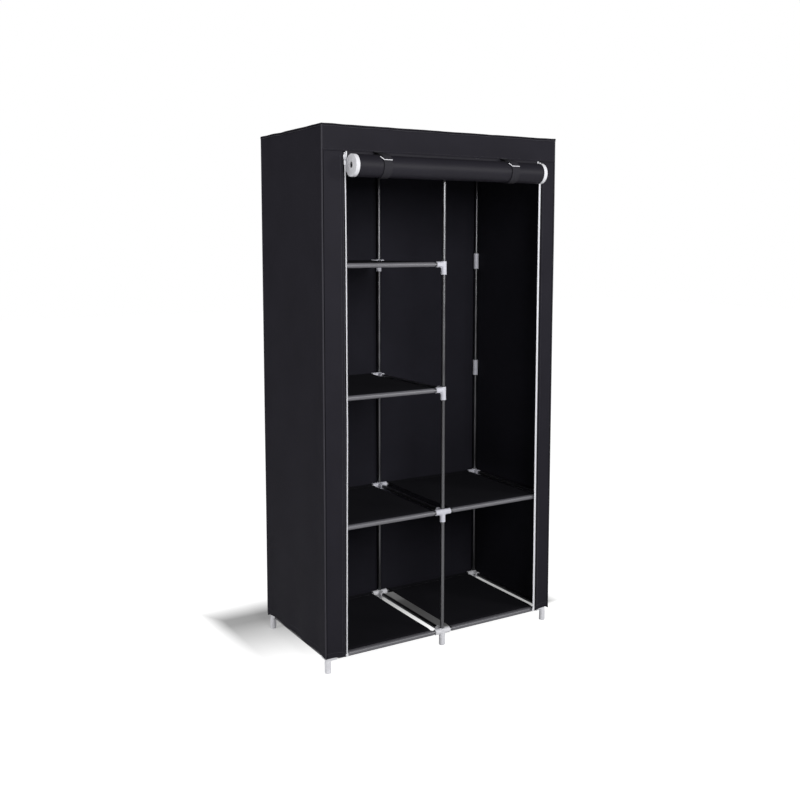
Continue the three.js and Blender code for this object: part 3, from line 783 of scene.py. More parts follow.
def material(settings, name):
    """One of the wardrobe's materials, made when it is first asked for."""
    if name in bpy.data.materials:
        return bpy.data.materials[name]
    if name in CLOTHS:
        tint, coordinates, gloss, group_values = CLOTHS[name]
        group, relief, shader_values = "Bonded cloth", CLOTH_RELIEF, {"Specular IOR Level": gloss}
    else:
        group, tint, relief, group_values, shader_values = HARD_FINISHES[name]
        coordinates = "Object"
    made = bpy.data.materials.new(name)
    made.use_nodes = True
    tree = made.node_tree
    effect = node(tree, "ShaderNodeGroup", {
        "Vector": node(tree, "ShaderNodeTexCoord").outputs[coordinates],
        "Color": (*getattr(settings.finishes, tint), 1.0), **group_values,
    }, node_tree=finish_group(group)).outputs
    strength, distance = relief
    bump = node(
        tree, "ShaderNodeBump", {"Strength": strength, "Distance": distance, "Height": effect["Height"]}
    )
    shader_values = {
        "Base Color": effect["Color"], "Roughness": effect["Roughness"], "Normal": bump.outputs["Normal"],
        **shader_values,
    }
    for label, value in shader_values.items():
        feed(tree, tree.nodes["Principled BSDF"].inputs[label], value)
    return made


def cover_materials(settings):
    """The cover's cloth outside, a slightly darker tint on its inner face, and painted shadow beside a seam.
    """
    return [material(settings, name) for name in ("Cover cloth", "Cover lining", "Painted seam shadow")]


# Tube frame

def tube(name, axis, centre, spans, settings):
    """Open steel tubes with rounded lips, end to end as one object."""
    sizes = settings.tubes
    outer, lip = TUBE_RADIUS, sizes.lip
    inner = outer - sizes.wall
    shape = Shape()
    for start, end in spans:
        profile = [
            (inner, start), (outer - lip, start), (outer, start + lip), (outer, end - lip),
            (outer - lip, end), (inner, end),
        ]
        shape.lathe(profile, axis, centre, sizes.sides, closed=True)
    return shape.make(name, material(settings, "Tube finish"))


def make_tubes(settings):
    """The posts, each four short tubes that meet inside the sleeves, the rails and the side tubes."""
    sizes = settings.connectors
    gap = settings.tubes.post_gap / 2
    for (end, place), column in COLUMNS.items():
        low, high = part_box(f"column_{end}_{place}")
        joints = [level - sizes.drop / 2 for level in LEVELS[1:-1]]
        starts = [low.z] + [joint + gap for joint in joints]
        ends = [joint - gap for joint in joints] + [high.z]
        post = tube(f"post_{end}_{place}", "Z", (column.x, column.y, 0.0), zip(starts, ends), settings)
        placed(post, "steel_tube", BODY, f"column_{end}_{place}")
    for name in sorted(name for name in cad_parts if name.startswith("rail_")) + ["hanging_rail"]:
        low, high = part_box(name)
        centre = (0.0, middle_of(name).y, middle_of(name).z)
        label = "hanging_tube" if name == "hanging_rail" else name.replace("rail_", "cross_tube_")
        placed(tube(label, "X", centre, [(low.x, high.x)], settings), "steel_tube", BODY, name)
    inset = sleeve_radius(sizes) + sizes.clearance
    for place, name, level in JOINTS:
        front, back = COLUMNS["front", place], COLUMNS["back", place]
        span = (front.y + inset, back.y - inset)
        piece = tube(f"side_tube_{place}_{name}", "Y", (front.x, 0.0, level), [span], settings)
        placed(piece, "steel_tube", BODY)


# Connectors

# The quarter turns of an arm from the direction to the right
TO_RIGHT, TO_BACK, TO_LEFT, TO_FRONT = 0, 1, 2, 3
WEB_STEPS = 8
SLEEVE_SIDES = 32


def sleeve_radius(sizes):
    return TUBE_RADIUS + sizes.wall


def bar(radius, start, end):
    """The profile of a solid bar."""
    return [(0.0, start), (radius, start), (radius, end), (0.0, end)]


def lay_bar(shape, direction, radius, start, end):
    """A solid bar laid along a level direction."""
    part = Shape()
    part.lathe(bar(radius, start, end), "X")
    turn = Matrix.Rotation(math.atan2(direction.y, direction.x), 3, "Z")
    shape.add([turn @ point for point in part.points], part.faces)


def lay_arm(solid, bores, direction, sizes):
    """An arm with its rim and its bore."""
    radius = sleeve_radius(sizes)
    lay_bar(solid, direction, radius, 0.0, sizes.reach)
    lay_bar(solid, direction, radius + sizes.rim, sizes.reach - sizes.rim_width, sizes.reach)
    lay_bar(bores, direction, TUBE_RADIUS + sizes.clearance, radius, sizes.reach + sizes.wall)


def lay_web(shape, direction, sizes):
    """A curved web between an arm's underside and the sleeve."""
    inner = sleeve_radius(sizes) - sizes.wall / 2
    outer = sleeve_radius(sizes) + sizes.web
    outline = [(inner, -inner), (outer, -inner)]
    for angle in spread(0.0, math.pi / 2, WEB_STEPS):
        outline.append((outer - sizes.web * math.sin(angle), -outer + sizes.web * math.cos(angle)))
    outline.append((inner, -outer))
    side = Vector((-direction.y, direction.x, 0)) * sizes.web_thickness / 2
    points = []
    for offset in (side, -side):
        points += [direction * reach + Vector((0, 0, height)) + offset for reach, height in outline]
    total = len(outline)
    faces = [range(total), range(2 * total - 1, total - 1, -1)]
    faces += [(i, i + total, (i + 1) % total + total, (i + 1) % total) for i in range(total)]
    shape.add(points, faces)


def moulded(name, solid, bores, sizes, finish):
    """Melts overlapping solids into one moulded form and drills its bores."""
    body = solid.make(name, finish)
    modify(body, "REMESH", mode="VOXEL", voxel_size=sizes.voxel)
    modify(body, "SMOOTH", factor=0.5, iterations=sizes.softening)
    bake(body)
    drill = bores.make(name + "_bores")
    modify(body, "BOOLEAN", operation="DIFFERENCE", object=drill)
    bake(body)
    bpy.data.objects.remove(drill)
    smooth(body.data, SHARP_MOULDED)
    return body


def connector_forms(turns, kind, level, sizes):
    """The overlapping solids of a connector at the origin, and its bores."""
    radius = sleeve_radius(sizes)
    top = radius + sizes.rise
    solid, bores = Shape(), Shape()
    if kind == "foot":
        bottom, bore_low = -radius, sizes.foot_floor - level
        solid.lathe(bar(sizes.foot_radius, -level, -top))
    else:
        bottom, bore_low = -sizes.drop, -sizes.drop - sizes.wall
        solid.lathe(bar(radius + sizes.rim, bottom, bottom + sizes.rim_width))
    solid.lathe(bar(radius, bottom, top))
    bore_high = top - sizes.wall if kind == "top" else top + sizes.wall
    bores.lathe(bar(TUBE_RADIUS + sizes.clearance, bore_low, bore_high))
    for turn in turns:
        direction = Matrix.Rotation(math.radians(90 * turn), 3, "Z") @ Vector((1, 0, 0))
        lay_arm(solid, bores, direction, sizes)
        if kind != "foot":
            lay_web(solid, direction, sizes)
    return solid, bores


def make_connectors(settings):
    """One moulded form for each kind, copied to each place."""
    sizes = settings.connectors
    forms = {}
    for place, name, level in JOINTS:
        kind = {"1": "foot", "top": "top"}.get(name, "middle")
        to_right = place == "left" or place == "middle" and name in RIGHT_LEVELS
        sideways = [TO_RIGHT] * to_right + [TO_LEFT] * (place != "left")
        for end, inward in (("front", TO_BACK), ("back", TO_FRONT)):
            key = ((*sideways, inward), kind)
            if key not in forms:
                finish = material(settings, "Foot plastic painted lighter" if kind == "foot" else "White plastic")
                forms[key] = moulded("form", *connector_forms(*key, level, sizes), sizes, finish)
            column = COLUMNS[end, place]
            copy = shown(f"connector_{end}_{place}_{name}", forms[key].data.copy())
            copy.data.transform(Matrix.Translation((column.x, column.y, level)))
            placed(copy, "white_connector", BODY, f"depth_bar_{place}_{name}")
    for form in forms.values():
        bpy.data.objects.remove(form)


def make_tees(settings):
    """The two tees that hold the hanging rail, each on its top side tube."""
    sizes = settings.connectors
    radius = sleeve_radius(sizes)
    half = sizes.collar / 2
    for place, direction in (("middle", Vector((1, 0, 0))), ("right", Vector((-1, 0, 0)))):
        solid, bores = Shape(), Shape()
        solid.lathe(bar(radius, -half, half), "Y")
        for start in (-half, half - sizes.rim_width):
            solid.lathe(bar(radius + sizes.rim, start, start + sizes.rim_width), "Y")
        bores.lathe(bar(TUBE_RADIUS + sizes.clearance, -half - sizes.wall, half + sizes.wall), "Y")
        lay_arm(solid, bores, direction, sizes)
        tee = moulded(f"tee_{place}", solid, bores, sizes, material(settings, "White plastic"))
        spot = (COLUMNS["front", place].x, middle_of("hanging_rail").y, LEVELS[-1])
        tee.data.transform(Matrix.Translation(spot))
        placed(tee, "white_connector", BODY, f"depth_bar_{place}_top")


def make_straight_sleeves(settings):
    """The sleeves that join two right-hand posts where no shelf is."""
    sizes = settings.connectors
    inner, outer = TUBE_RADIUS + sizes.clearance, sleeve_radius(sizes)
    rim = outer + sizes.rim
    soft = sizes.rim / 2
    half, width = sizes.straight / 2, sizes.rim_width
    profile = [
        (inner, -half), (rim - soft, -half), (rim, -half + soft), (rim, -half + width - soft),
        (outer, -half + width), (outer, -sizes.rim * 2), (outer + soft, -soft),
    ]
    profile += [(radius, -along) for radius, along in reversed(profile)]
    for end, _ in ENDS:
        column = COLUMNS[end, "right"]
        for name, level in zip(LEVEL_NAMES, LEVELS):
            if name in RIGHT_LEVELS:
                continue
            shape = Shape()
            shape.lathe(profile, "Z", (column.x, column.y, level), SLEEVE_SIDES, closed=True)
            sleeve = shape.make(f"post_joint_{end}_{name}", material(settings, "White plastic"))
            placed(sleeve, "white_connector", BODY, f"sleeve_{end}_right_{name}")


# Cloth shelves

HEM_ARC_STEPS = 22
STITCH_LINE_STEPS = 24
# Shares of the shelf's depth at which its cloth rises from the stitch line to the flat height
RISING = (0.003, 0.008, 0.015, 0.03)
FLAT_FROM = 0.05
# Shares of the side hem's width at which the mesh has a column: before its fold and past it
FOLD_LINE, FLAT_LINE = 0.92, 1.6
# How far the hem's lower layer lies under its upper one, in thicknesses of cloth
UNDER_LAYER = 1.15
# The share of the sag that reaches the shelf's sides, and how fast the rest grows away from them
SIDE_SAG, SAG_SHAPE = 0.35, 0.7


def hem_path(axis_y, level, inward, radius, sizes):
    """A hem's path in depth and height: from under the stitch line, round the rail, back to that line."""
    over = Vector((sizes.stitch_back, sizes.valley))
    under = Vector((sizes.stitch_back, sizes.valley - sizes.cloth * UNDER_LAYER))
    leave = math.atan2(under.y, under.x) - math.acos(radius / under.length)
    arrive = math.atan2(over.y, over.x) + math.acos(radius / over.length) - 2 * math.pi
    angles = spread(leave, arrive, HEM_ARC_STEPS)
    arc = [Vector((radius * math.cos(angle), radius * math.sin(angle))) for angle in angles]
    return [(axis_y + inward * point.x, level + point.y) for point in [under, *arc, over]]


def shelf_path(front_y, back_y, level, sizes):
    """The whole path of a shelf's cloth, and which material each row of faces has: the front hem's rows take
    the hem tint with its painted sheen, the back hem's the plain shelf cloth.
    """
    radius = TUBE_RADIUS + sizes.gap + sizes.cloth / 2
    front = hem_path(front_y, level, 1, radius, sizes)
    back = hem_path(back_y, level, -1, radius, sizes)[::-1]
    flat = []
    parts = [*RISING, *spread(FLAT_FROM, 1 - FLAT_FROM, sizes.rows), *[1 - part for part in reversed(RISING)]]
    for part in parts:
        rise = min(1.0, min(part, 1 - part) / RISING[-1])
        height = between(sizes.valley, sizes.flat, math.sin(rise * math.pi / 2))
        depth = between(front_y + sizes.stitch_back, back_y - sizes.stitch_back, part)
        flat.append((depth, level + height))
    return front + flat + back, [1] * (len(front) - 1) + [0] * (len(flat) + len(back))


def make_shelves(settings):
    """Six cloth shelves, sewn round their front and back rails."""
    sizes = settings.shelves
    edge = sizes.side_hem
    fold_line, flat_line = edge * FOLD_LINE, edge * FLAT_LINE
    front_y, back_y = COLUMNS["front", "left"].y, COLUMNS["back", "left"].y
    lines = []
    for bay, number in [("left", 1), ("left", 2), ("left", 3), ("left", 4), ("right", 1), ("right", 2)]:
        name = f"shelf_{bay}_{number}"
        low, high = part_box(name)
        width = high.x - low.x
        level = LEVELS[number - 1]
        path, kinds = shelf_path(front_y, back_y, level, sizes)
        walked = [0.0]
        for one, two in zip(path, path[1:]):
            walked.append(walked[-1] + math.hypot(two[0] - one[0], two[1] - one[1]))
        xs = [low.x, low.x + fold_line, low.x + edge]
        xs += spread(low.x + flat_line, high.x - flat_line, sizes.columns)
        xs += [high.x - edge, high.x - fold_line, high.x]
        rows = []
        for y, z in path:
            row = []
            hang = hump(clamp((y - front_y - sizes.taut) / (back_y - front_y - 2 * sizes.taut)))
            for x in xs:
                sag = sizes.sag * hang * between(SIDE_SAG, 1.0, hump((x - low.x) / width) ** SAG_SHAPE)
                ripple = sizes.ripple * hang * wander(x * 9, y * 7, number * 3.1)
                folded = sizes.side_fold if x <= low.x + edge or x >= high.x - edge else 0.0
                row.append((x, y, z - sag + ripple + folded * (hang > 0)))
            rows.append(row)
        uvs = [[(x, along) for x in xs] for along in walked]
        shelf = sewn_cloth(
            f"cloth_{name}", rows, sizes.cloth, material(settings, "Shelf cloth"),
            material(settings, "Shelf hem with painted sheen"), uvs=uvs, kinds=kinds,
        )
        placed(shelf, "shelf_cloth", BODY, name)
        height = level + sizes.valley + sizes.cloth / 2
        for y in (front_y + sizes.stitch_back, back_y - sizes.stitch_back):
            lines.append([Vector((x, y, height)) for x in spread(low.x, high.x, STITCH_LINE_STEPS)])
    placed(stitches("shelf_stitches", lines, settings, seed=3), "shelf_cloth", BODY)


# Sewn cover

SIDE_SEED, BACK_SEED = 20.0, 31.0
SIDE_FOLDS, BACK_FOLDS = 3, 5
# Shares of a hem's width, and of the header's lap, at which the mesh has a row
FOLD_SHARES = (0.0, 0.12, 0.5, 0.9, 1.0, 1.12)
LAP_SHARES = (0.0, 0.3, 0.9, 1.0, 1.3)
FOLD_ROW, LAP_ROW = FOLD_SHARES.index(1.0), LAP_SHARES.index(1.0)
HEADER_STEPS, STRIP_STEPS = 9, 7
# Rows that the light binding and the strip's seam leave out at the top, under the header
BINDING_END, STRIP_SEAM_END = 6, 2
CORNER_STEPS, ROOF_WIDTH_STEPS, ROOF_DEPTH_STEPS = 90, 110, 55
# Shares of the roof's depth, and of the piping's radius, at which the roof's piping turns and lies inside
ROOF_DEPTH_END = 0.02
PIPING_INSET, STRIP_PIPING_INSET = 0.55, 0.6
# Shares of the ridge of doubled cloth that show at the header's lap and at the strip's seam
LAP_RIDGE, SEAM_RIDGE = 0.6, 0.8


def corner_shift(x_side, y_side, z, sizes):
    """How far a corner seam stands inside its place, across and in depth."""
    seed = 10 * x_side + 3 * y_side
    return sizes.corner_ease * drift(seed, z * 2.1, 0.4), sizes.corner_ease * drift(seed, z * 2.6, 7.4)


def swing(u, folds, phase):
    """The regular part of the folds, from 0 to 1."""
    return 0.5 - 0.5 * math.cos(2 * math.pi * folds * u + 0.9 * phase)


def fold_depth(u, height, folds, seed, sizes):
    """How far a hanging panel stands inside its plane, away from its corners."""
    above = max(0.0, 1 - height / sizes.fold_height)
    strength = 0.75 + 0.5 * wander(seed + 5.0, u * 3.0, 0.0)
    depth = above * above * swing(u, folds, wander(seed, height * 2.2, u * 1.5)) * strength
    window = min(1.0, 9 * min(u, 1 - u))
    soft = drift(seed + 9.0, u * 2.4, height * 1.7)
    doubled = sizes.ridge if height < sizes.hem_fold else 0.0
    return window * (sizes.fold_depth * depth + sizes.ease * soft) - doubled


def hem_rise(u, folds, seed, sizes):
    """How far the side hem stands above its lowest height."""
    strength = 0.7 + 0.5 * wander(seed + 5.0, u * 3.0, 0.0)
    return sizes.hem_wave * swing(u, folds, wander(seed, 0.0, u * 1.5)) * strength


def edge_dip(spot, seed, sizes):
    """How far a top edge hangs between the connectors."""
    return sizes.edge_bump * drift(seed, spot * 7.0, 0.0) * 0.8


def top_height(x, y_side, sizes):
    """The height of the cover's top edge at the front or the back."""
    seed = 40.0 if y_side == FRONT else 50.0
    on_corner = max(0.0, 1 - abs(x) / ROOF_HIGH.x) ** 0.35
    return ROOF_HIGH.z - edge_dip(x, seed, sizes) * on_corner


def side_top(v, x_side, sizes):
    """How far a side's top edge hangs at a share of the way from front to back."""
    return edge_dip(v, SIDE_SEED + x_side, sizes) * hump(v)


def hem_rows(top, bottom, sizes):
    """Heights above the hem: close together in the folded hem, then even."""
    rows = [sizes.hem_fold * part for part in FOLD_SHARES]
    steps = int((top - bottom - sizes.hem_fold) / sizes.grid)
    return rows + spread(rows[-1] + sizes.grid, top - bottom, steps)


def sew_panel(name, facing, width, us, heights, point, settings, **kinds):
    """A hanging panel from its point at each share of its width and each height above its hem."""
    rows = [[point(u, above) for u in us] for above in heights]
    uvs = [[(u * width, above) for u in us] for above in heights]
    cloth = settings.cover.cloth
    panel = sewn_cloth(name, rows, cloth, *cover_materials(settings), uvs=uvs, facing=facing, **kinds)
    return panel, rows


def across_corners(u, z, y_side, half, sizes):
    """The place across the width between two corner seams, and how far it stands inside in depth."""
    left_x, left_y = corner_shift(LEFT, y_side, z, sizes)
    right_x, right_y = corner_shift(RIGHT, y_side, z, sizes)
    return -half + left_x + u * (2 * half - left_x - right_x), between(left_y, right_y, u)


def side_panel(label, x_side, settings):
    """A side of the cover, with soft folds that grow towards its hem."""
    sizes = settings.cover
    lowest = SIDE_HEM if x_side == LEFT else FRONT_HEM
    front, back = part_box("cover_left")[0].y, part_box("cover_left")[1].y
    plane = x_side * (ROOF_HIGH.x - sizes.cloth / 2)
    seed = SIDE_SEED + x_side
    us = spread(0.0, 1.0, int((back - front) / sizes.grid))
    heights = hem_rows(ROOF_HIGH.z, SIDE_HEM, sizes)

    def point(u, above):
        rise = hem_rise(u, SIDE_FOLDS, seed, sizes) if x_side == LEFT else 0.0
        hem = lowest + rise * (1 - above / heights[-1])
        top = ROOF_HIGH.z - side_top(u, x_side, sizes) - sizes.cloth
        z = hem + above * (top - hem) / heights[-1]
        front_x, front_y = corner_shift(x_side, FRONT, z, sizes)
        back_x, back_y = corner_shift(x_side, BACK, z, sizes)
        inside = between(front_x, back_x, u) + fold_depth(u, above, SIDE_FOLDS, seed, sizes)
        return plane - x_side * inside, between(front + front_y, back - back_y, u), z

    return sew_panel(f"side_cloth_{label}", (x_side, 0, 0), back - front, us, heights, point, settings)


def back_panel(settings):
    """The back of the cover."""
    sizes = settings.cover
    half = ROOF_HIGH.x - sizes.cloth
    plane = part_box("cover_back")[1].y - sizes.cloth / 2
    us = spread(0.0, 1.0, int(2 * half / sizes.grid))
    heights = hem_rows(ROOF_HIGH.z, SIDE_HEM, sizes)

    def point(u, above):
        hem = BACK_HEM + hem_rise(u, BACK_FOLDS, BACK_SEED, sizes) * (1 - above / heights[-1])
        top = top_height(half * (2 * u - 1), BACK, sizes) - sizes.cloth
        z = hem + above * (top - hem) / heights[-1]
        x, inside = across_corners(u, z, BACK, half, sizes)
        return x, plane - inside - fold_depth(u, above, BACK_FOLDS, BACK_SEED, sizes), z

    return sew_panel("back_cloth", (0, 1, 0), 2 * half, us, heights, point, settings)


def header_panel(settings):
    """The header across the front, lapped over the strips."""
    sizes = settings.cover
    half = ROOF_HIGH.x - sizes.cloth
    plane = ROOF_LOW.y + sizes.cloth / 2
    us = spread(0.0, 1.0, int(2 * half / sizes.grid))
    lap = sizes.header_lap
    heights = [lap * part for part in LAP_SHARES]
    heights += spread(lap * 2, ROOF_HIGH.z - SEAM_HEIGHT, HEADER_STEPS)

    def point(u, above):
        across = half * (2 * u - 1)
        top = top_height(across, FRONT, sizes) - sizes.cloth
        bottom = SEAM_HEIGHT - sizes.header_wave * (1 + wander(across * 8, 3.0, 0.0))
        z = bottom + above * (top - bottom) / heights[-1]
        x, inside = across_corners(u, z, FRONT, half, sizes)
        inside += sizes.strip_ease * drift(across * 4.5, z * 9, 8.0) * hump(u) ** 0.4
        inside *= min(1.0, above / (lap * 3))
        return x, plane + inside - (sizes.ridge * LAP_RIDGE if above < lap else 0.0), z

    return sew_panel("header_cloth", (0, -1, 0), 2 * half, us, heights, point, settings)


def roof_panel(settings):
    """The roof, which hangs a little between the tubes."""
    sizes = settings.cover
    half, front, back = ROOF_HIGH.x, ROOF_LOW.y, ROOF_HIGH.y
    xs = spread(-half, half, int(2 * half / sizes.grid))
    ys = spread(front, back, int((back - front) / sizes.grid))
    tube_x = COLUMNS["front", "right"].x

    def point(x, y):
        v = (y - front) / (back - front)
        x_side, y_side = math.copysign(1, x), math.copysign(1, v - 0.5)
        edge = between(top_height(x, FRONT, sizes), top_height(x, BACK, sizes), v)
        bay = 0.0
        if abs(x) > tube_x:
            edge -= side_top(v, x_side, sizes) * (abs(x) - tube_x) / (half - tube_x)
        elif abs(x) < tube_x:
            bay = abs(hump(x / tube_x))
        depth = hump(clamp((v - 0.05) / 0.9))
        sag = sizes.roof_sag * bay ** 0.6 * depth * (0.8 + 0.4 * wander(x * 5, y * 5, 2.0))
        shift_x, shift_y = corner_shift(x_side, y_side, ROOF_HIGH.z, sizes)
        return x - x / half * shift_x, y - (2 * v - 1) * shift_y, edge - sizes.cloth / 2 - sag

    rows = [[point(x, y) for x in xs] for y in ys]
    uvs = [[(x, y) for x in xs] for y in ys]
    return sewn_cloth(
        "roof_cloth", rows, sizes.cloth, *cover_materials(settings), uvs=uvs, facing=(0, 0, 1)
    )


def zip_wave(x_side, z, zips):
    """How far the opening's edge stands off its straight line, most of it drawn in at half its height."""
    height = clamp((z - FRONT_HEM) / (SEAM_HEIGHT - FRONT_HEM))
    held = max(0.0, hump(height))
    drawn = zips.right_bow * held
    if x_side == LEFT:
        drawn = zips.bow * held ** zips.bow_shape * min(1.0, height / zips.bow_foot)
    return held * zips.wave * wander(x_side * 4.0, z * 2.4, 1.5) - x_side * drawn


def strip_edge(x_side, zips):
    """From the middle to a strip's edge beside the zip."""
    return OPENING[x_side] + (zips.bare_tape if x_side == RIGHT else -zips.left_fold)


def strip_panel(label, x_side, settings):
    """A front strip between a corner seam and the opening, with painted shadow along each edge."""
    sizes = settings.cover
    edge = strip_edge(x_side, settings.zips)
    plane = ROOF_LOW.y + sizes.cloth / 2
    width = ROOF_HIGH.x - sizes.cloth - edge
    seam = sizes.strip_seam / width
    band = sizes.band / width
    corner = 1 - sizes.piping * STRIP_PIPING_INSET / width
    us = sorted([
        *spread(band * 3, corner - band * 1.5, STRIP_STEPS), 0.0, band, band * 2, corner - band, corner,
        1.0, *[seam * part for part in FOLD_SHARES[3:]],
    ])
    # Painted shadow: the columns of faces beside the opening's edge and beside the corner seam take the
    # near-black tint
    dark, light = (0.0, band) if x_side == LEFT else (band, 0.0)
    painted_shadow_columns = (us.index(dark), us.index(corner - band))
    top = SEAM_HEIGHT + sizes.header_lap * 2
    heights = hem_rows(top, FRONT_HEM, sizes)

    def point(u, above):
        across = edge + width * u
        toward = (across - edge) / (ROOF_HIGH.x - edge)
        lifted = sizes.strip_lift * hump(clamp(toward))
        hem = FRONT_HEM + (SIDE_HEM - FRONT_HEM) * toward * toward + lifted
        z = hem + above * (top - hem) / heights[-1]
        corner_x, corner_y = corner_shift(x_side, FRONT, z, sizes)
        inside = sizes.strip_ease * drift(x_side * 3.0, u * 1.3, z * 2.3) * (1 - abs(2 * u - 1))
        inside += corner_y * u + sizes.strip_back * (1 - u)
        inside -= sizes.ridge * SEAM_RIDGE if u < seam else 0.0
        inside -= sizes.ridge if above < sizes.hem_fold else 0.0
        inside = max(inside, 0.0) + (sizes.strip_back if z > SEAM_HEIGHT - sizes.header_lap else 0.0)
        wave = zip_wave(x_side, z, settings.zips) * (1 - u)
        return x_side * (across - corner_x * u) + wave, plane + inside, z

    panel, rows = sew_panel(
        f"front_strip_{label}", (0, -1, 0), width, us, heights, point, settings,
        column_kinds=[2 if i in painted_shadow_columns else 0 for i in range(len(us) - 1)],
    )
    at = us.index(light)
    out = Vector((0, sizes.cloth / 2, 0))
    line = [(Vector(row[at]) + Vector(row[at + 1])) / 2 - out for row in rows[:-BINDING_END]]
    # The binding is a real cord on the strip's folded edge; its lighter tint is a painted highlight
    binding = round_cord(f"front_binding_{label}", line, sizes.band / 3, material(settings, "Seam cloth with painted highlight"))
    placed(binding, "cover_cloth", BODY)
    return panel, rows, us.index(seam)


def make_piping(settings):
    """Piping in the four corner seams and round the roof, and a line of painted highlight under the roof's;
    the corner piping's lighter tint is a painted highlight too.
    """
    sizes = settings.cover
    light = material(settings, "Seam cloth with painted highlight")
    half, front, back = ROOF_HIGH.x, ROOF_LOW.y, ROOF_HIGH.y
    edge_of = {FRONT: front, BACK: back}
    radius = sizes.piping
    inset = radius * PIPING_INSET
    for x_label, x_side in SIDES:
        for y_label, y_side in ENDS:
            path = []
            for z in spread(SIDE_HEM + sizes.piping_end, ROOF_HIGH.z - radius, CORNER_STEPS):
                shift_x, shift_y = corner_shift(x_side, y_side, z, sizes)
                y = edge_of[y_side] - y_side * (shift_y + inset)
                path.append(Vector((x_side * (half - shift_x - inset), y, z)))
            piping = round_cord(f"corner_piping_{y_label}_{x_label}", path, radius, light)
            placed(piping, "cover_cloth", BODY)
    loop = []
    far = half - inset
    vs = spread(ROOF_DEPTH_END, 1 - ROOF_DEPTH_END, ROOF_DEPTH_STEPS)
    for y_side, x_side, side_vs in ((FRONT, RIGHT, vs), (BACK, LEFT, vs[::-1])):
        for x in spread(-x_side * far, x_side * far, ROOF_WIDTH_STEPS):
            loop.append(Vector((x, edge_of[y_side] - y_side * inset, top_height(x, y_side, sizes) - inset)))
        for v in side_vs:
            z = ROOF_HIGH.z - side_top(v, x_side, sizes) - inset
            loop.append(Vector((x_side * far, between(front, back, v), z)))
    for point in loop:
        point.z -= sizes.piping_wave * drift(point.x * 26.0, point.y * 26.0, 5.0)
    piping = round_cord("roof_piping", loop, radius, material(settings, "Cover cloth"), closed=True)
    placed(piping, "cover_cloth", BODY)
    line = []
    for point in loop:
        lift = sizes.piping_wave * wander(point.x * 18.0, point.y * 18.0, 9.0)
        sunk = sizes.line_sunk * (1 + wander(point.x * 30.0, point.y * 30.0, 3.0))
        x = math.copysign(min(abs(point.x) + inset - sunk, half - sunk), point.x)
        y = max(front + sunk, min(back - sunk, point.y + math.copysign(inset, point.y)))
        line.append(Vector((x, y, point.z - sizes.line_drop + lift)))
    painted_highlight_line = round_cord("roof_painted_highlight_line", line, sizes.line, light, sides=6, closed=True)
    placed(painted_highlight_line, "cover_cloth", BODY)


def make_cover(settings):
    """All of the sewn cover but its door and zips."""
    sizes = settings.cover
    lines = []

    def set_in(panel, node):
        placed(panel, "cover_cloth", BODY, node)

    def sew(row, *facing):
        lines.append([Vector(point) + Vector(facing) * sizes.cloth / 2 for point in row])

    for label, x_side in SIDES:
        panel, rows = side_panel(label, x_side, settings)
        set_in(panel, f"cover_{label}")
        sew(rows[FOLD_ROW], x_side, 0, 0)
    panel, rows = back_panel(settings)
    set_in(panel, "cover_back")
    sew(rows[FOLD_ROW], 0, 1, 0)
    set_in(roof_panel(settings), "cover_top")
    panel, rows = header_panel(settings)
    set_in(panel, "cover_front")
    sew(rows[LAP_ROW], 0, -1, 0)
    for label, x_side in SIDES:
        panel, rows, seam = strip_panel(label, x_side, settings)
        flat = (ROOF_HIGH.x - strip_edge(x_side, settings.zips), SEAM_HEIGHT - FRONT_HEM)
        set_in(panel, "cover_front")
        sew([row[seam] for row in rows[:-STRIP_SEAM_END]], 0, -1, 0)
        sew(rows[FOLD_ROW], 0, -1, 0)
    placed(stitches("cover_stitches", lines, settings, seed=7), "cover_cloth", BODY)
    make_piping(settings)


# Rolled door and its straps

TAPE_STEPS, CURTAIN_STEPS, STRAP_STEPS = 3, 24, 6
BAND_ARC_STEPS, TAB_ARC_STEPS, PATCH_END_STEPS = 44, 18, 5
# Thicknesses of a strap by which its patch's edge stands out and its tab is sewn in
PATCH_LIFT, TAB_SEWN = 0.7, 3


def press(obj, settings):
    """Gives a piece of the roll its own mesh."""
    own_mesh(obj)


def roll_rows(settings, xs):
    """The roll's cloth from its outer end inwards: rows of points, their UVs and the cloth's length."""
    door = settings.door
    rows, uvs = [], []
    walked = 0.0
    for step in range(int((ROLL_LINE - door.core) / door.pitch * door.turn_steps) + 1):
        angle = 2 * math.pi * step / door.turn_steps
        radius = ROLL_LINE - door.pitch * step / door.turn_steps
        if step:
            walked += radius * 2 * math.pi / door.turn_steps
        row = []
        for x in xs:
            uneven = wander(x * 6.0, math.cos(angle) * 0.8, math.sin(angle) * 0.8)
            reach = radius * (1 + door.unevenness * uneven)
            row.append((x, ROLL_Y + reach * math.cos(angle), ROLL_Z - reach * math.sin(angle)))
        rows.append(row)
        uvs.append([(x, walked) for x in xs])
    return rows, uvs, walked


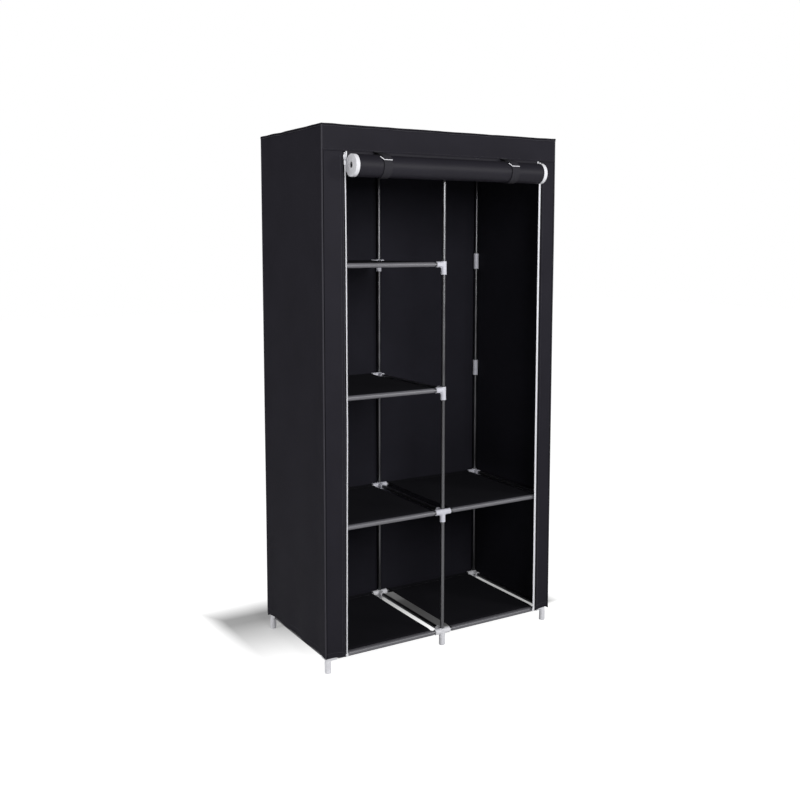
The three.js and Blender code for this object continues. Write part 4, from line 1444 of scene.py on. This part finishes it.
def make_door(settings):
    """The rolled cloth, its flattened first turns and the zip tapes at its ends."""
    door = settings.door
    left, right = ROLL_LOW.x + door.tape_width, ROLL_HIGH.x - door.tape_width
    rows, uvs, walked = roll_rows(settings, spread(left, right, door.columns))
    roll = sewn_cloth("door_cloth_roll", rows, door.cloth, material(settings, "Rolled cloth"), uvs=uvs)
    placed(roll, "cover_cloth", "door", "door_roll")
    press(roll, settings)
    heart = Shape()
    profile = bar(1.0, ROLL_LOW.x + door.heart_inset, ROLL_HIGH.x - door.heart_inset)
    heart.lathe(profile, "X", sides=door.turn_steps)
    for point in heart.points:
        point.y = ROLL_Y + point.y * door.heart_width
        point.z = ROLL_Z + point.z * door.heart_height
    first_turns = heart.make("door_cloth_heart", material(settings, "Cover lining"))
    press(placed(first_turns, "cover_cloth", "door"), settings)
    for label, near, far in (("left", left, ROLL_LOW.x), ("right", right, ROLL_HIGH.x)):
        rows, uvs, _ = roll_rows(settings, spread(near, far, TAPE_STEPS))
        tape = sewn_cloth(
            f"door_tape_roll_{label}", rows, door.tape_cloth, material(settings, "Zip tape"), uvs=uvs
        )
        press(placed(tape, "zip_plastic", "door"), settings)


def make_curtain(settings):
    """The cloth and tapes that hang between the header and the roll."""
    door = settings.door
    cloth = settings.cover.cloth
    top = SEAM_HEIGHT - door.seam_overlap
    heights = spread(top, ROLL_Z, door.curtain_rows)
    ends = {side: side * (SLIDER[side][0] - door.side_gap) for _, side in SIDES}
    inner = {side: ends[side] - side * door.hanging_tape for _, side in SIDES}

    def hang(name, xs, thickness, finish, slot):
        rows = [[(x, CLOTH_PLANE, z) for x in xs] for z in heights]
        piece = sewn_cloth(name, rows, thickness, material(settings, finish))
        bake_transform(piece)
        return piece

    across = spread(inner[LEFT], inner[RIGHT], CURTAIN_STEPS)
    curtain = hang("door_cloth_hanging", across, cloth, "Door cloth", "cover_cloth")
    for label, side in SIDES:
        across = spread(inner[side], ends[side], 2)
        hang(f"door_tape_hanging_{label}", across, cloth * 1.1, "Zip tape", "zip_plastic")


def strap_path(radius, door):
    """A strap's path: from the header down behind the roll, under it and up its front."""
    behind = ROLL_Y + radius
    path = [Vector((0, behind, SEAM_HEIGHT + door.strap_sewn)), Vector((0, behind, SEAM_HEIGHT))]
    for angle in spread(0.0, math.radians(door.strap_turn), BAND_ARC_STEPS):
        path.append(Vector((0, ROLL_Y + radius * math.cos(angle), ROLL_Z - radius * math.sin(angle))))
    return path


def tab_path(radius, door):
    """The outer tab's path: out of the header's seam and down over the roll's front."""
    start = Vector((0, ROOF_LOW.y - door.strap_cloth, SEAM_HEIGHT + door.strap_cloth))
    away_y, away_z = start.y - ROLL_Y, start.z - ROLL_Z
    touch = math.atan2(away_z, away_y) + math.acos(min(1.0, radius / math.hypot(away_y, away_z)))
    path = [start + Vector((0, 0, door.strap_cloth * TAB_SEWN)), start]
    for angle in spread(touch, touch + door.tab_drop / radius, TAB_ARC_STEPS):
        path.append(Vector((0, ROLL_Y + radius * math.cos(angle), ROLL_Z + radius * math.sin(angle))))
    return path


def patch_path(path, x_left, x_right, door):
    """The light edge of a tab's fastening patch: down its left side, then along its end."""
    upper, lower = path[-door.patch_steps], path[-1]

    def lifted(x, point):
        away = Vector((0, point.y - ROLL_Y, point.z - ROLL_Z)).normalized()
        return Vector((x, point.y, point.z)) + away * door.strap_cloth * PATCH_LIFT

    line = []
    for point in path[-door.patch_steps:]:
        share_up = (point.z - lower.z) / (upper.z - lower.z)
        line.append(lifted(x_left - door.patch_lean * share_up, point))
    across = spread(x_left + door.patch_lean / 2, x_right, PATCH_END_STEPS)
    return line + [lifted(x, lower) for x in across]


def make_straps(settings):
    """Each strap is an inner band round the roll and an outer tab with a light fastening patch."""
    door = settings.door
    band_radius = ROLL_RADIUS + door.strap_air + door.strap_cloth / 2
    band = strap_path(band_radius, door)
    tab = tab_path(band_radius + door.strap_cloth + door.strap_air, door)
    for label, _ in SIDES:
        low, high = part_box(f"tie_{label}")
        for name, path, nodes in (
            (f"strap_{label}", band, [f"tie_{label}"]), (f"strap_tab_{label}", tab, []),
        ):
            xs = spread(low.x, high.x, STRAP_STEPS)
            rows = [[(x, point.y, point.z) for x in xs] for point in path]
            strap = sewn_cloth(name, rows, door.strap_cloth, material(settings, "Strap cloth"))
            press(placed(strap, "strap_cloth", BODY, *nodes), settings)
        line = patch_path(tab, low.x, high.x, door)
        patch = round_cord(
            f"strap_patch_{label}", line, door.patch_edge / 2, material(settings, "Zip tape")
        )
        press(placed(patch, "strap_cloth", BODY), settings)


# Zips

ZIP_STEPS, BAIL_STEPS, PULL_STEPS = 130, 14, 12
TAPE_COLUMNS = 4
TOOTH_SEED = 11
# The share of its radius by which a pull's top bulges, and the shares of its ring's radius that its tongue
# is half as thick as and stands above its lowest point
CROWN, TONGUE, TONGUE_LIFT = 0.35, 0.8, 2.2


def rounded_block(shape, low, high, radius):
    """A box with rounded edges."""
    part = bmesh.new()
    bmesh.ops.create_cube(part, size=1.0)
    size = Vector([abs(value) for value in Vector(high) - Vector(low)])
    centre = (Vector(high) + Vector(low)) / 2
    for vert in part.verts:
        vert.co = vert.co * size + centre
    bmesh.ops.bevel(
        part, geom=part.edges[:], offset=min(radius, min(size) * 0.45), segments=3, profile=0.5,
        affect="EDGES", clamp_overlap=True,
    )
    part.verts.ensure_lookup_table()
    shape.add([vert.co.copy() for vert in part.verts], [[v.index for v in face.verts] for face in part.faces])
    part.free()


def make_zip(label, x_side, settings):
    """A zip tape with its row of teeth and its stop, along one edge of the opening."""
    zips = settings.zips
    outer = OPENING[x_side]
    bare = strip_edge(x_side, zips)
    tooth_x = outer - zips.tooth_place if x_side == RIGHT else bare - zips.left_place
    heights = spread(FRONT_HEM + zips.tape_cloth, SEAM_HEIGHT - settings.cover.header_lap, ZIP_STEPS)
    behind = CLOTH_PLANE + settings.cover.cloth + zips.tape_cloth
    places = [(x, CLOTH_PLANE) for x in (tooth_x, (tooth_x + bare) / 2, bare - zips.tape_cloth)]
    places += [(x, behind) for x in spread(bare, bare + zips.tape_reach, TAPE_COLUMNS)]
    rows, path = [], []
    for z in heights:
        wave = zip_wave(x_side, z, zips)
        rows.append([(x_side * x + wave, y, z) for x, y in places])
        path.append(Vector((x_side * tooth_x + wave, CLOTH_PLANE, z)))
    tape = sewn_cloth(f"zip_tape_{label}", rows, zips.tape_cloth, material(settings, "Zip tape"))
    placed(tape, "zip_plastic", BODY, f"zip_chain_{label}")
    nylon = material(settings, "White nylon")
    teeth = row_of_parts(f"zip_teeth_{label}", [path], {
        "Pitch": zips.tooth_pitch, "Along": zips.tooth_pitch * 0.95, "Out": zips.tooth_height,
        "Across": zips.tooth_width, "Variation": 0.02, "Seed": TOOTH_SEED, "Material": nylon,
    })
    placed(teeth, "zip_plastic", BODY)
    stop = Shape()
    half = zips.stop_thickness / 2
    low = (x_side * SLIDER[x_side][0], CLOTH_PLANE - half, FRONT_HEM)
    high = (x_side * outer, CLOTH_PLANE + half, FRONT_HEM + zips.stop_height)
    rounded_block(stop, low, high, half / 2)
    placed(stop.make(f"zip_stop_{label}", nylon), "zip_plastic", BODY)


def make_slider(label, x_side, settings):
    """A zip slider: two rounded plates, a side wall and the bail that holds its pull."""
    zips = settings.zips
    low, high = SLIDER_LOW, SLIDER_HIGH
    front = low.y + zips.bail_reach
    x_in, x_out = SLIDER[x_side]
    shape = Shape()
    for outer, y_low, y_high in (
        (x_out, front, front + zips.plate), (x_out, high.y - zips.plate, high.y),
        (x_in + zips.slider_wall, front, high.y),
    ):
        corners = (x_side * x_in, y_low, low.z), (x_side * outer, y_high, high.z)
        rounded_block(shape, *corners, zips.slider_edge)
    path = []
    for angle in spread(0.0, math.pi, BAIL_STEPS):
        z = (low.z + high.z) / 2 - math.cos(angle) * zips.bail_height
        out = max(0.0, math.sin(angle)) ** 0.6 * (zips.bail_reach + zips.bail_sunk - zips.ring)
        path.append(Vector((x_side * (x_in + x_out) / 2, front + zips.bail_sunk - out, z)))
    shape.sweep(path, zips.ring)
    slider = shape.make(f"slider_body_{label}", material(settings, "White nylon"))
    placed(slider, "zip_plastic", f"slider_{label}", f"zip_slider_{label}")


def make_pull(label, settings):
    """The pull: a flat rounded ring with a long tongue, hung on the bail."""
    zips = settings.zips
    ring = zips.ring
    low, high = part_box(f"zip_pull_{label}")
    middle = (low + high) / 2
    reach = (high.x - low.x) / 2 - ring
    crown = reach * CROWN
    outline = []
    for start, height, base in (
        (0.0, crown, high.z - ring - crown), (math.pi, reach, low.z + ring + reach),
    ):
        for angle in spread(start, start + math.pi, PULL_STEPS):
            x = middle.x + reach * math.cos(angle)
            outline.append(Vector((x, middle.y, base + height * math.sin(angle))))
    shape = Shape()
    shape.sweep(outline, ring, closed=True)
    half = ring * TONGUE
    rounded_block(
        shape, (low.x + ring, middle.y - half, low.z + ring * TONGUE_LIFT),
        (high.x - ring, middle.y + half, high.z - zips.tongue_drop), zips.tongue_edge,
    )
    pull = shape.make(f"pull_ring_{label}", material(settings, "White nylon"))
    placed(pull, "zip_plastic", f"pull_{label}", f"zip_pull_{label}")


# Stage

SENSOR_WIDTH = 36.0


def painted_floor_shade(tree, settings):
    """How much the floor glows: painted shade under the wardrobe, where little light comes in."""
    stage = settings.stage
    coordinates = node(tree, "ShaderNodeTexCoord").outputs["Object"]
    parts = node(tree, "ShaderNodeSeparateXYZ", {0: coordinates})
    x, y = parts.outputs["X"], parts.outputs["Y"]
    half, back = ROOF_HIGH.x, ROOF_HIGH.y
    right = COLUMNS["front", "right"].x
    front, blur, split = stage.floor_front, stage.floor_blur, stage.floor_split
    left_shade = remap(tree, y, front, back * 1.3, stage.floor_glow, stage.floor_left)
    deep = remap(tree, y, front, back, stage.floor_right, stage.floor_deep)
    covered = remap(tree, y, front - blur, front + blur)
    right_shade = mix(tree, covered, stage.floor_glow, deep)
    edge_shade = mix(tree, covered, stage.floor_glow, stage.floor_edge)
    shade = mix(tree, remap(tree, x, split - blur / 2, split + blur / 2), left_shade, right_shade)
    shade = mix(tree, remap(tree, x, right, right + blur), shade, edge_shade)
    outside_x = remap(tree, reckon(tree, "ABSOLUTE", x), half * 1.25, half * 1.4)
    outside = reckon(tree, "MAXIMUM", outside_x, remap(tree, y, back * 1.5, back * 2))
    return mix(tree, outside, shade, stage.floor_glow)


def seen_rays(tree):
    """One where a ray shows the background, straight or through glass."""
    path = node(tree, "ShaderNodeLightPath").outputs
    return reckon(tree, "MAXIMUM", path["Is Camera Ray"], path["Is Transmission Ray"])


def make_floor(settings):
    """A white floor that keeps a faint shadow."""
    size = settings.stage.floor_size / 2
    tint = settings.finishes.floor
    finish = bpy.data.materials.new("Studio floor")
    finish.use_nodes = True
    tree = finish.node_tree
    tree.nodes.clear()
    plain = node(tree, "ShaderNodeBsdfDiffuse", {"Color": (*tint, 1.0)})
    faint = node(tree, "ShaderNodeBsdfDiffuse", {"Color": (*[value / 2 for value in tint], 1.0)})
    glow = node(tree, "ShaderNodeEmission", {"Strength": painted_floor_shade(tree, settings)})
    both = node(tree, "ShaderNodeAddShader", {0: glow.outputs[0], 1: faint.outputs[0]})
    surface = node(tree, "ShaderNodeMixShader", {0: seen_rays(tree), 1: plain.outputs[0], 2: both.outputs[0]})
    node(tree, "ShaderNodeOutputMaterial", {"Surface": surface.outputs[0]})
    shape = Shape()
    shape.grid([[(-size, -size, 0), (size, -size, 0)], [(-size, size, 0), (size, size, 0)]])
    floor = shape.make("studio_floor", finish, solid=False)
    face_away(floor, (0, 0, 1))


def make_world(settings):
    """White all round, with less light than it shows."""
    stage = settings.stage
    world = bpy.data.worlds.new("Studio")
    bpy.context.scene.world = world
    world.use_nodes = True
    tree = world.node_tree
    background = tree.nodes["Background"].inputs
    feed(tree, background["Color"], WHITE)
    glossy = node(tree, "ShaderNodeLightPath").outputs["Is Glossy Ray"]
    light = mix(tree, glossy, stage.world, stage.world_gloss)
    feed(tree, background["Strength"], mix(tree, seen_rays(tree), light, 1.0))


def make_lamp(name, power, spot, width, height):
    """A soft rectangular lamp turned towards the wardrobe's middle."""
    data = bpy.data.lights.new(name, "AREA")
    data.shape = "RECTANGLE"
    data.size, data.size_y = width, height
    data.energy = power
    lamp = shown(name, data)
    lamp.location = spot
    aim = Vector((0, 0, LEVELS[3])) - Vector(spot)
    lamp.rotation_euler = aim.to_track_quat("-Z", "Y").to_euler()


def make_lamps(settings):
    """A large lamp in front on the left, one beside the left side and a narrow one in front on the right."""
    stage = settings.stage
    make_lamp("key_lamp", stage.key, stage.key_place, stage.key_size, stage.key_size)
    make_lamp("side_lamp", stage.side, stage.side_place, stage.side_size, stage.side_size)
    make_lamp("strip_lamp", stage.strip, stage.strip_place, stage.strip_width, stage.strip_height)


def make_camera(settings):
    """The camera at the photograph's angle."""
    stage = settings.stage
    data = bpy.data.cameras.new("camera")
    data.lens = stage.lens
    data.sensor_width = SENSOR_WIDTH
    data.shift_y = stage.shift
    camera = shown("camera", data)
    camera.location = stage.camera
    camera.rotation_euler = (math.pi / 2 + stage.pitch, 0.0, -stage.yaw)
    bpy.context.scene.camera = camera


# Operators

class WARDROBE_OT_stage(Operator):
    """Make the floor, the lights and the camera"""
    bl_idname = "wardrobe.stage"
    bl_label = "Stage"

    def execute(self, context):
        for make in (make_floor, make_world, make_lamps, make_camera):
            make(context.scene.wardrobe)
        context.scene.view_settings.view_transform = "Standard"
        return {"FINISHED"}


class WARDROBE_OT_tubes(Operator):
    """Make the posts, the rails, the side tubes and the hanging rail"""
    bl_idname = "wardrobe.tubes"
    bl_label = "Tubes"

    def execute(self, context):
        make_tubes(context.scene.wardrobe)
        return {"FINISHED"}


class WARDROBE_OT_connectors(Operator):
    """Make the moulded connectors, the tees and the straight sleeves"""
    bl_idname = "wardrobe.connectors"
    bl_label = "Connectors"

    def execute(self, context):
        for make in (make_connectors, make_tees, make_straight_sleeves):
            make(context.scene.wardrobe)
        return {"FINISHED"}


class WARDROBE_OT_shelves(Operator):
    """Make the cloth shelves with their hems and stitches"""
    bl_idname = "wardrobe.shelves"
    bl_label = "Shelves"

    def execute(self, context):
        make_shelves(context.scene.wardrobe)
        return {"FINISHED"}


class WARDROBE_OT_cover(Operator):
    """Make the sewn cover with its piping and stitches"""
    bl_idname = "wardrobe.cover"
    bl_label = "Cover"

    def execute(self, context):
        make_cover(context.scene.wardrobe)
        return {"FINISHED"}


class WARDROBE_OT_door(Operator):
    """Make the rolled door and the straps that hold it"""
    bl_idname = "wardrobe.door"
    bl_label = "Door"

    def execute(self, context):
        for make in (make_straps, make_door, make_curtain):
            make(context.scene.wardrobe)
        return {"FINISHED"}


class WARDROBE_OT_zips(Operator):
    """Make the zip tapes, teeth, sliders and pulls"""
    bl_idname = "wardrobe.zips"
    bl_label = "Zips"

    def execute(self, context):
        settings = context.scene.wardrobe
        for label, x_side in SIDES:
            make_zip(label, x_side, settings)
            make_slider(label, x_side, settings)
            make_pull(label, settings)
        return {"FINISHED"}


class WARDROBE_PT_panel(Panel):
    """Lists the wardrobe's pieces and sizes"""
    bl_idname = "WARDROBE_PT_panel"
    bl_label = "Fabric wardrobe"
    bl_space_type = "VIEW_3D"
    bl_region_type = "UI"
    bl_category = "Wardrobe"

    def draw(self, context):
        settings = context.scene.wardrobe
        for operator in OPERATORS:
            self.layout.operator(operator.bl_idname)
        for group in (settings.cover, settings.door, settings.finishes):
            box = self.layout.box()
            for name in group.__annotations__:
                box.prop(group, name)


OPERATORS = (
    WARDROBE_OT_stage, WARDROBE_OT_tubes, WARDROBE_OT_connectors, WARDROBE_OT_shelves, WARDROBE_OT_cover,
    WARDROBE_OT_door, WARDROBE_OT_zips,
)
CLASSES = (
    TubeSizes, ConnectorSizes, ShelfSizes, CoverSizes, DoorSizes, ZipSizes, Finishes, StageSizes,
    WardrobeSettings, *OPERATORS, WARDROBE_PT_panel,
)


def register():
    for made in CLASSES:
        bpy.utils.register_class(made)
    bpy.types.Scene.wardrobe = PointerProperty(type=WardrobeSettings)


def unregister():
    del bpy.types.Scene.wardrobe
    for made in reversed(CLASSES):
        bpy.utils.unregister_class(made)


def main():
    """Builds everything in order."""
    register()
    bpy.ops.wardrobe.stage()
    bpy.ops.wardrobe.tubes()
    bpy.ops.wardrobe.connectors()
    bpy.ops.wardrobe.shelves()
    bpy.ops.wardrobe.cover()
    bpy.ops.wardrobe.door()
    bpy.ops.wardrobe.zips()


if __name__ == "__main__":
    main()
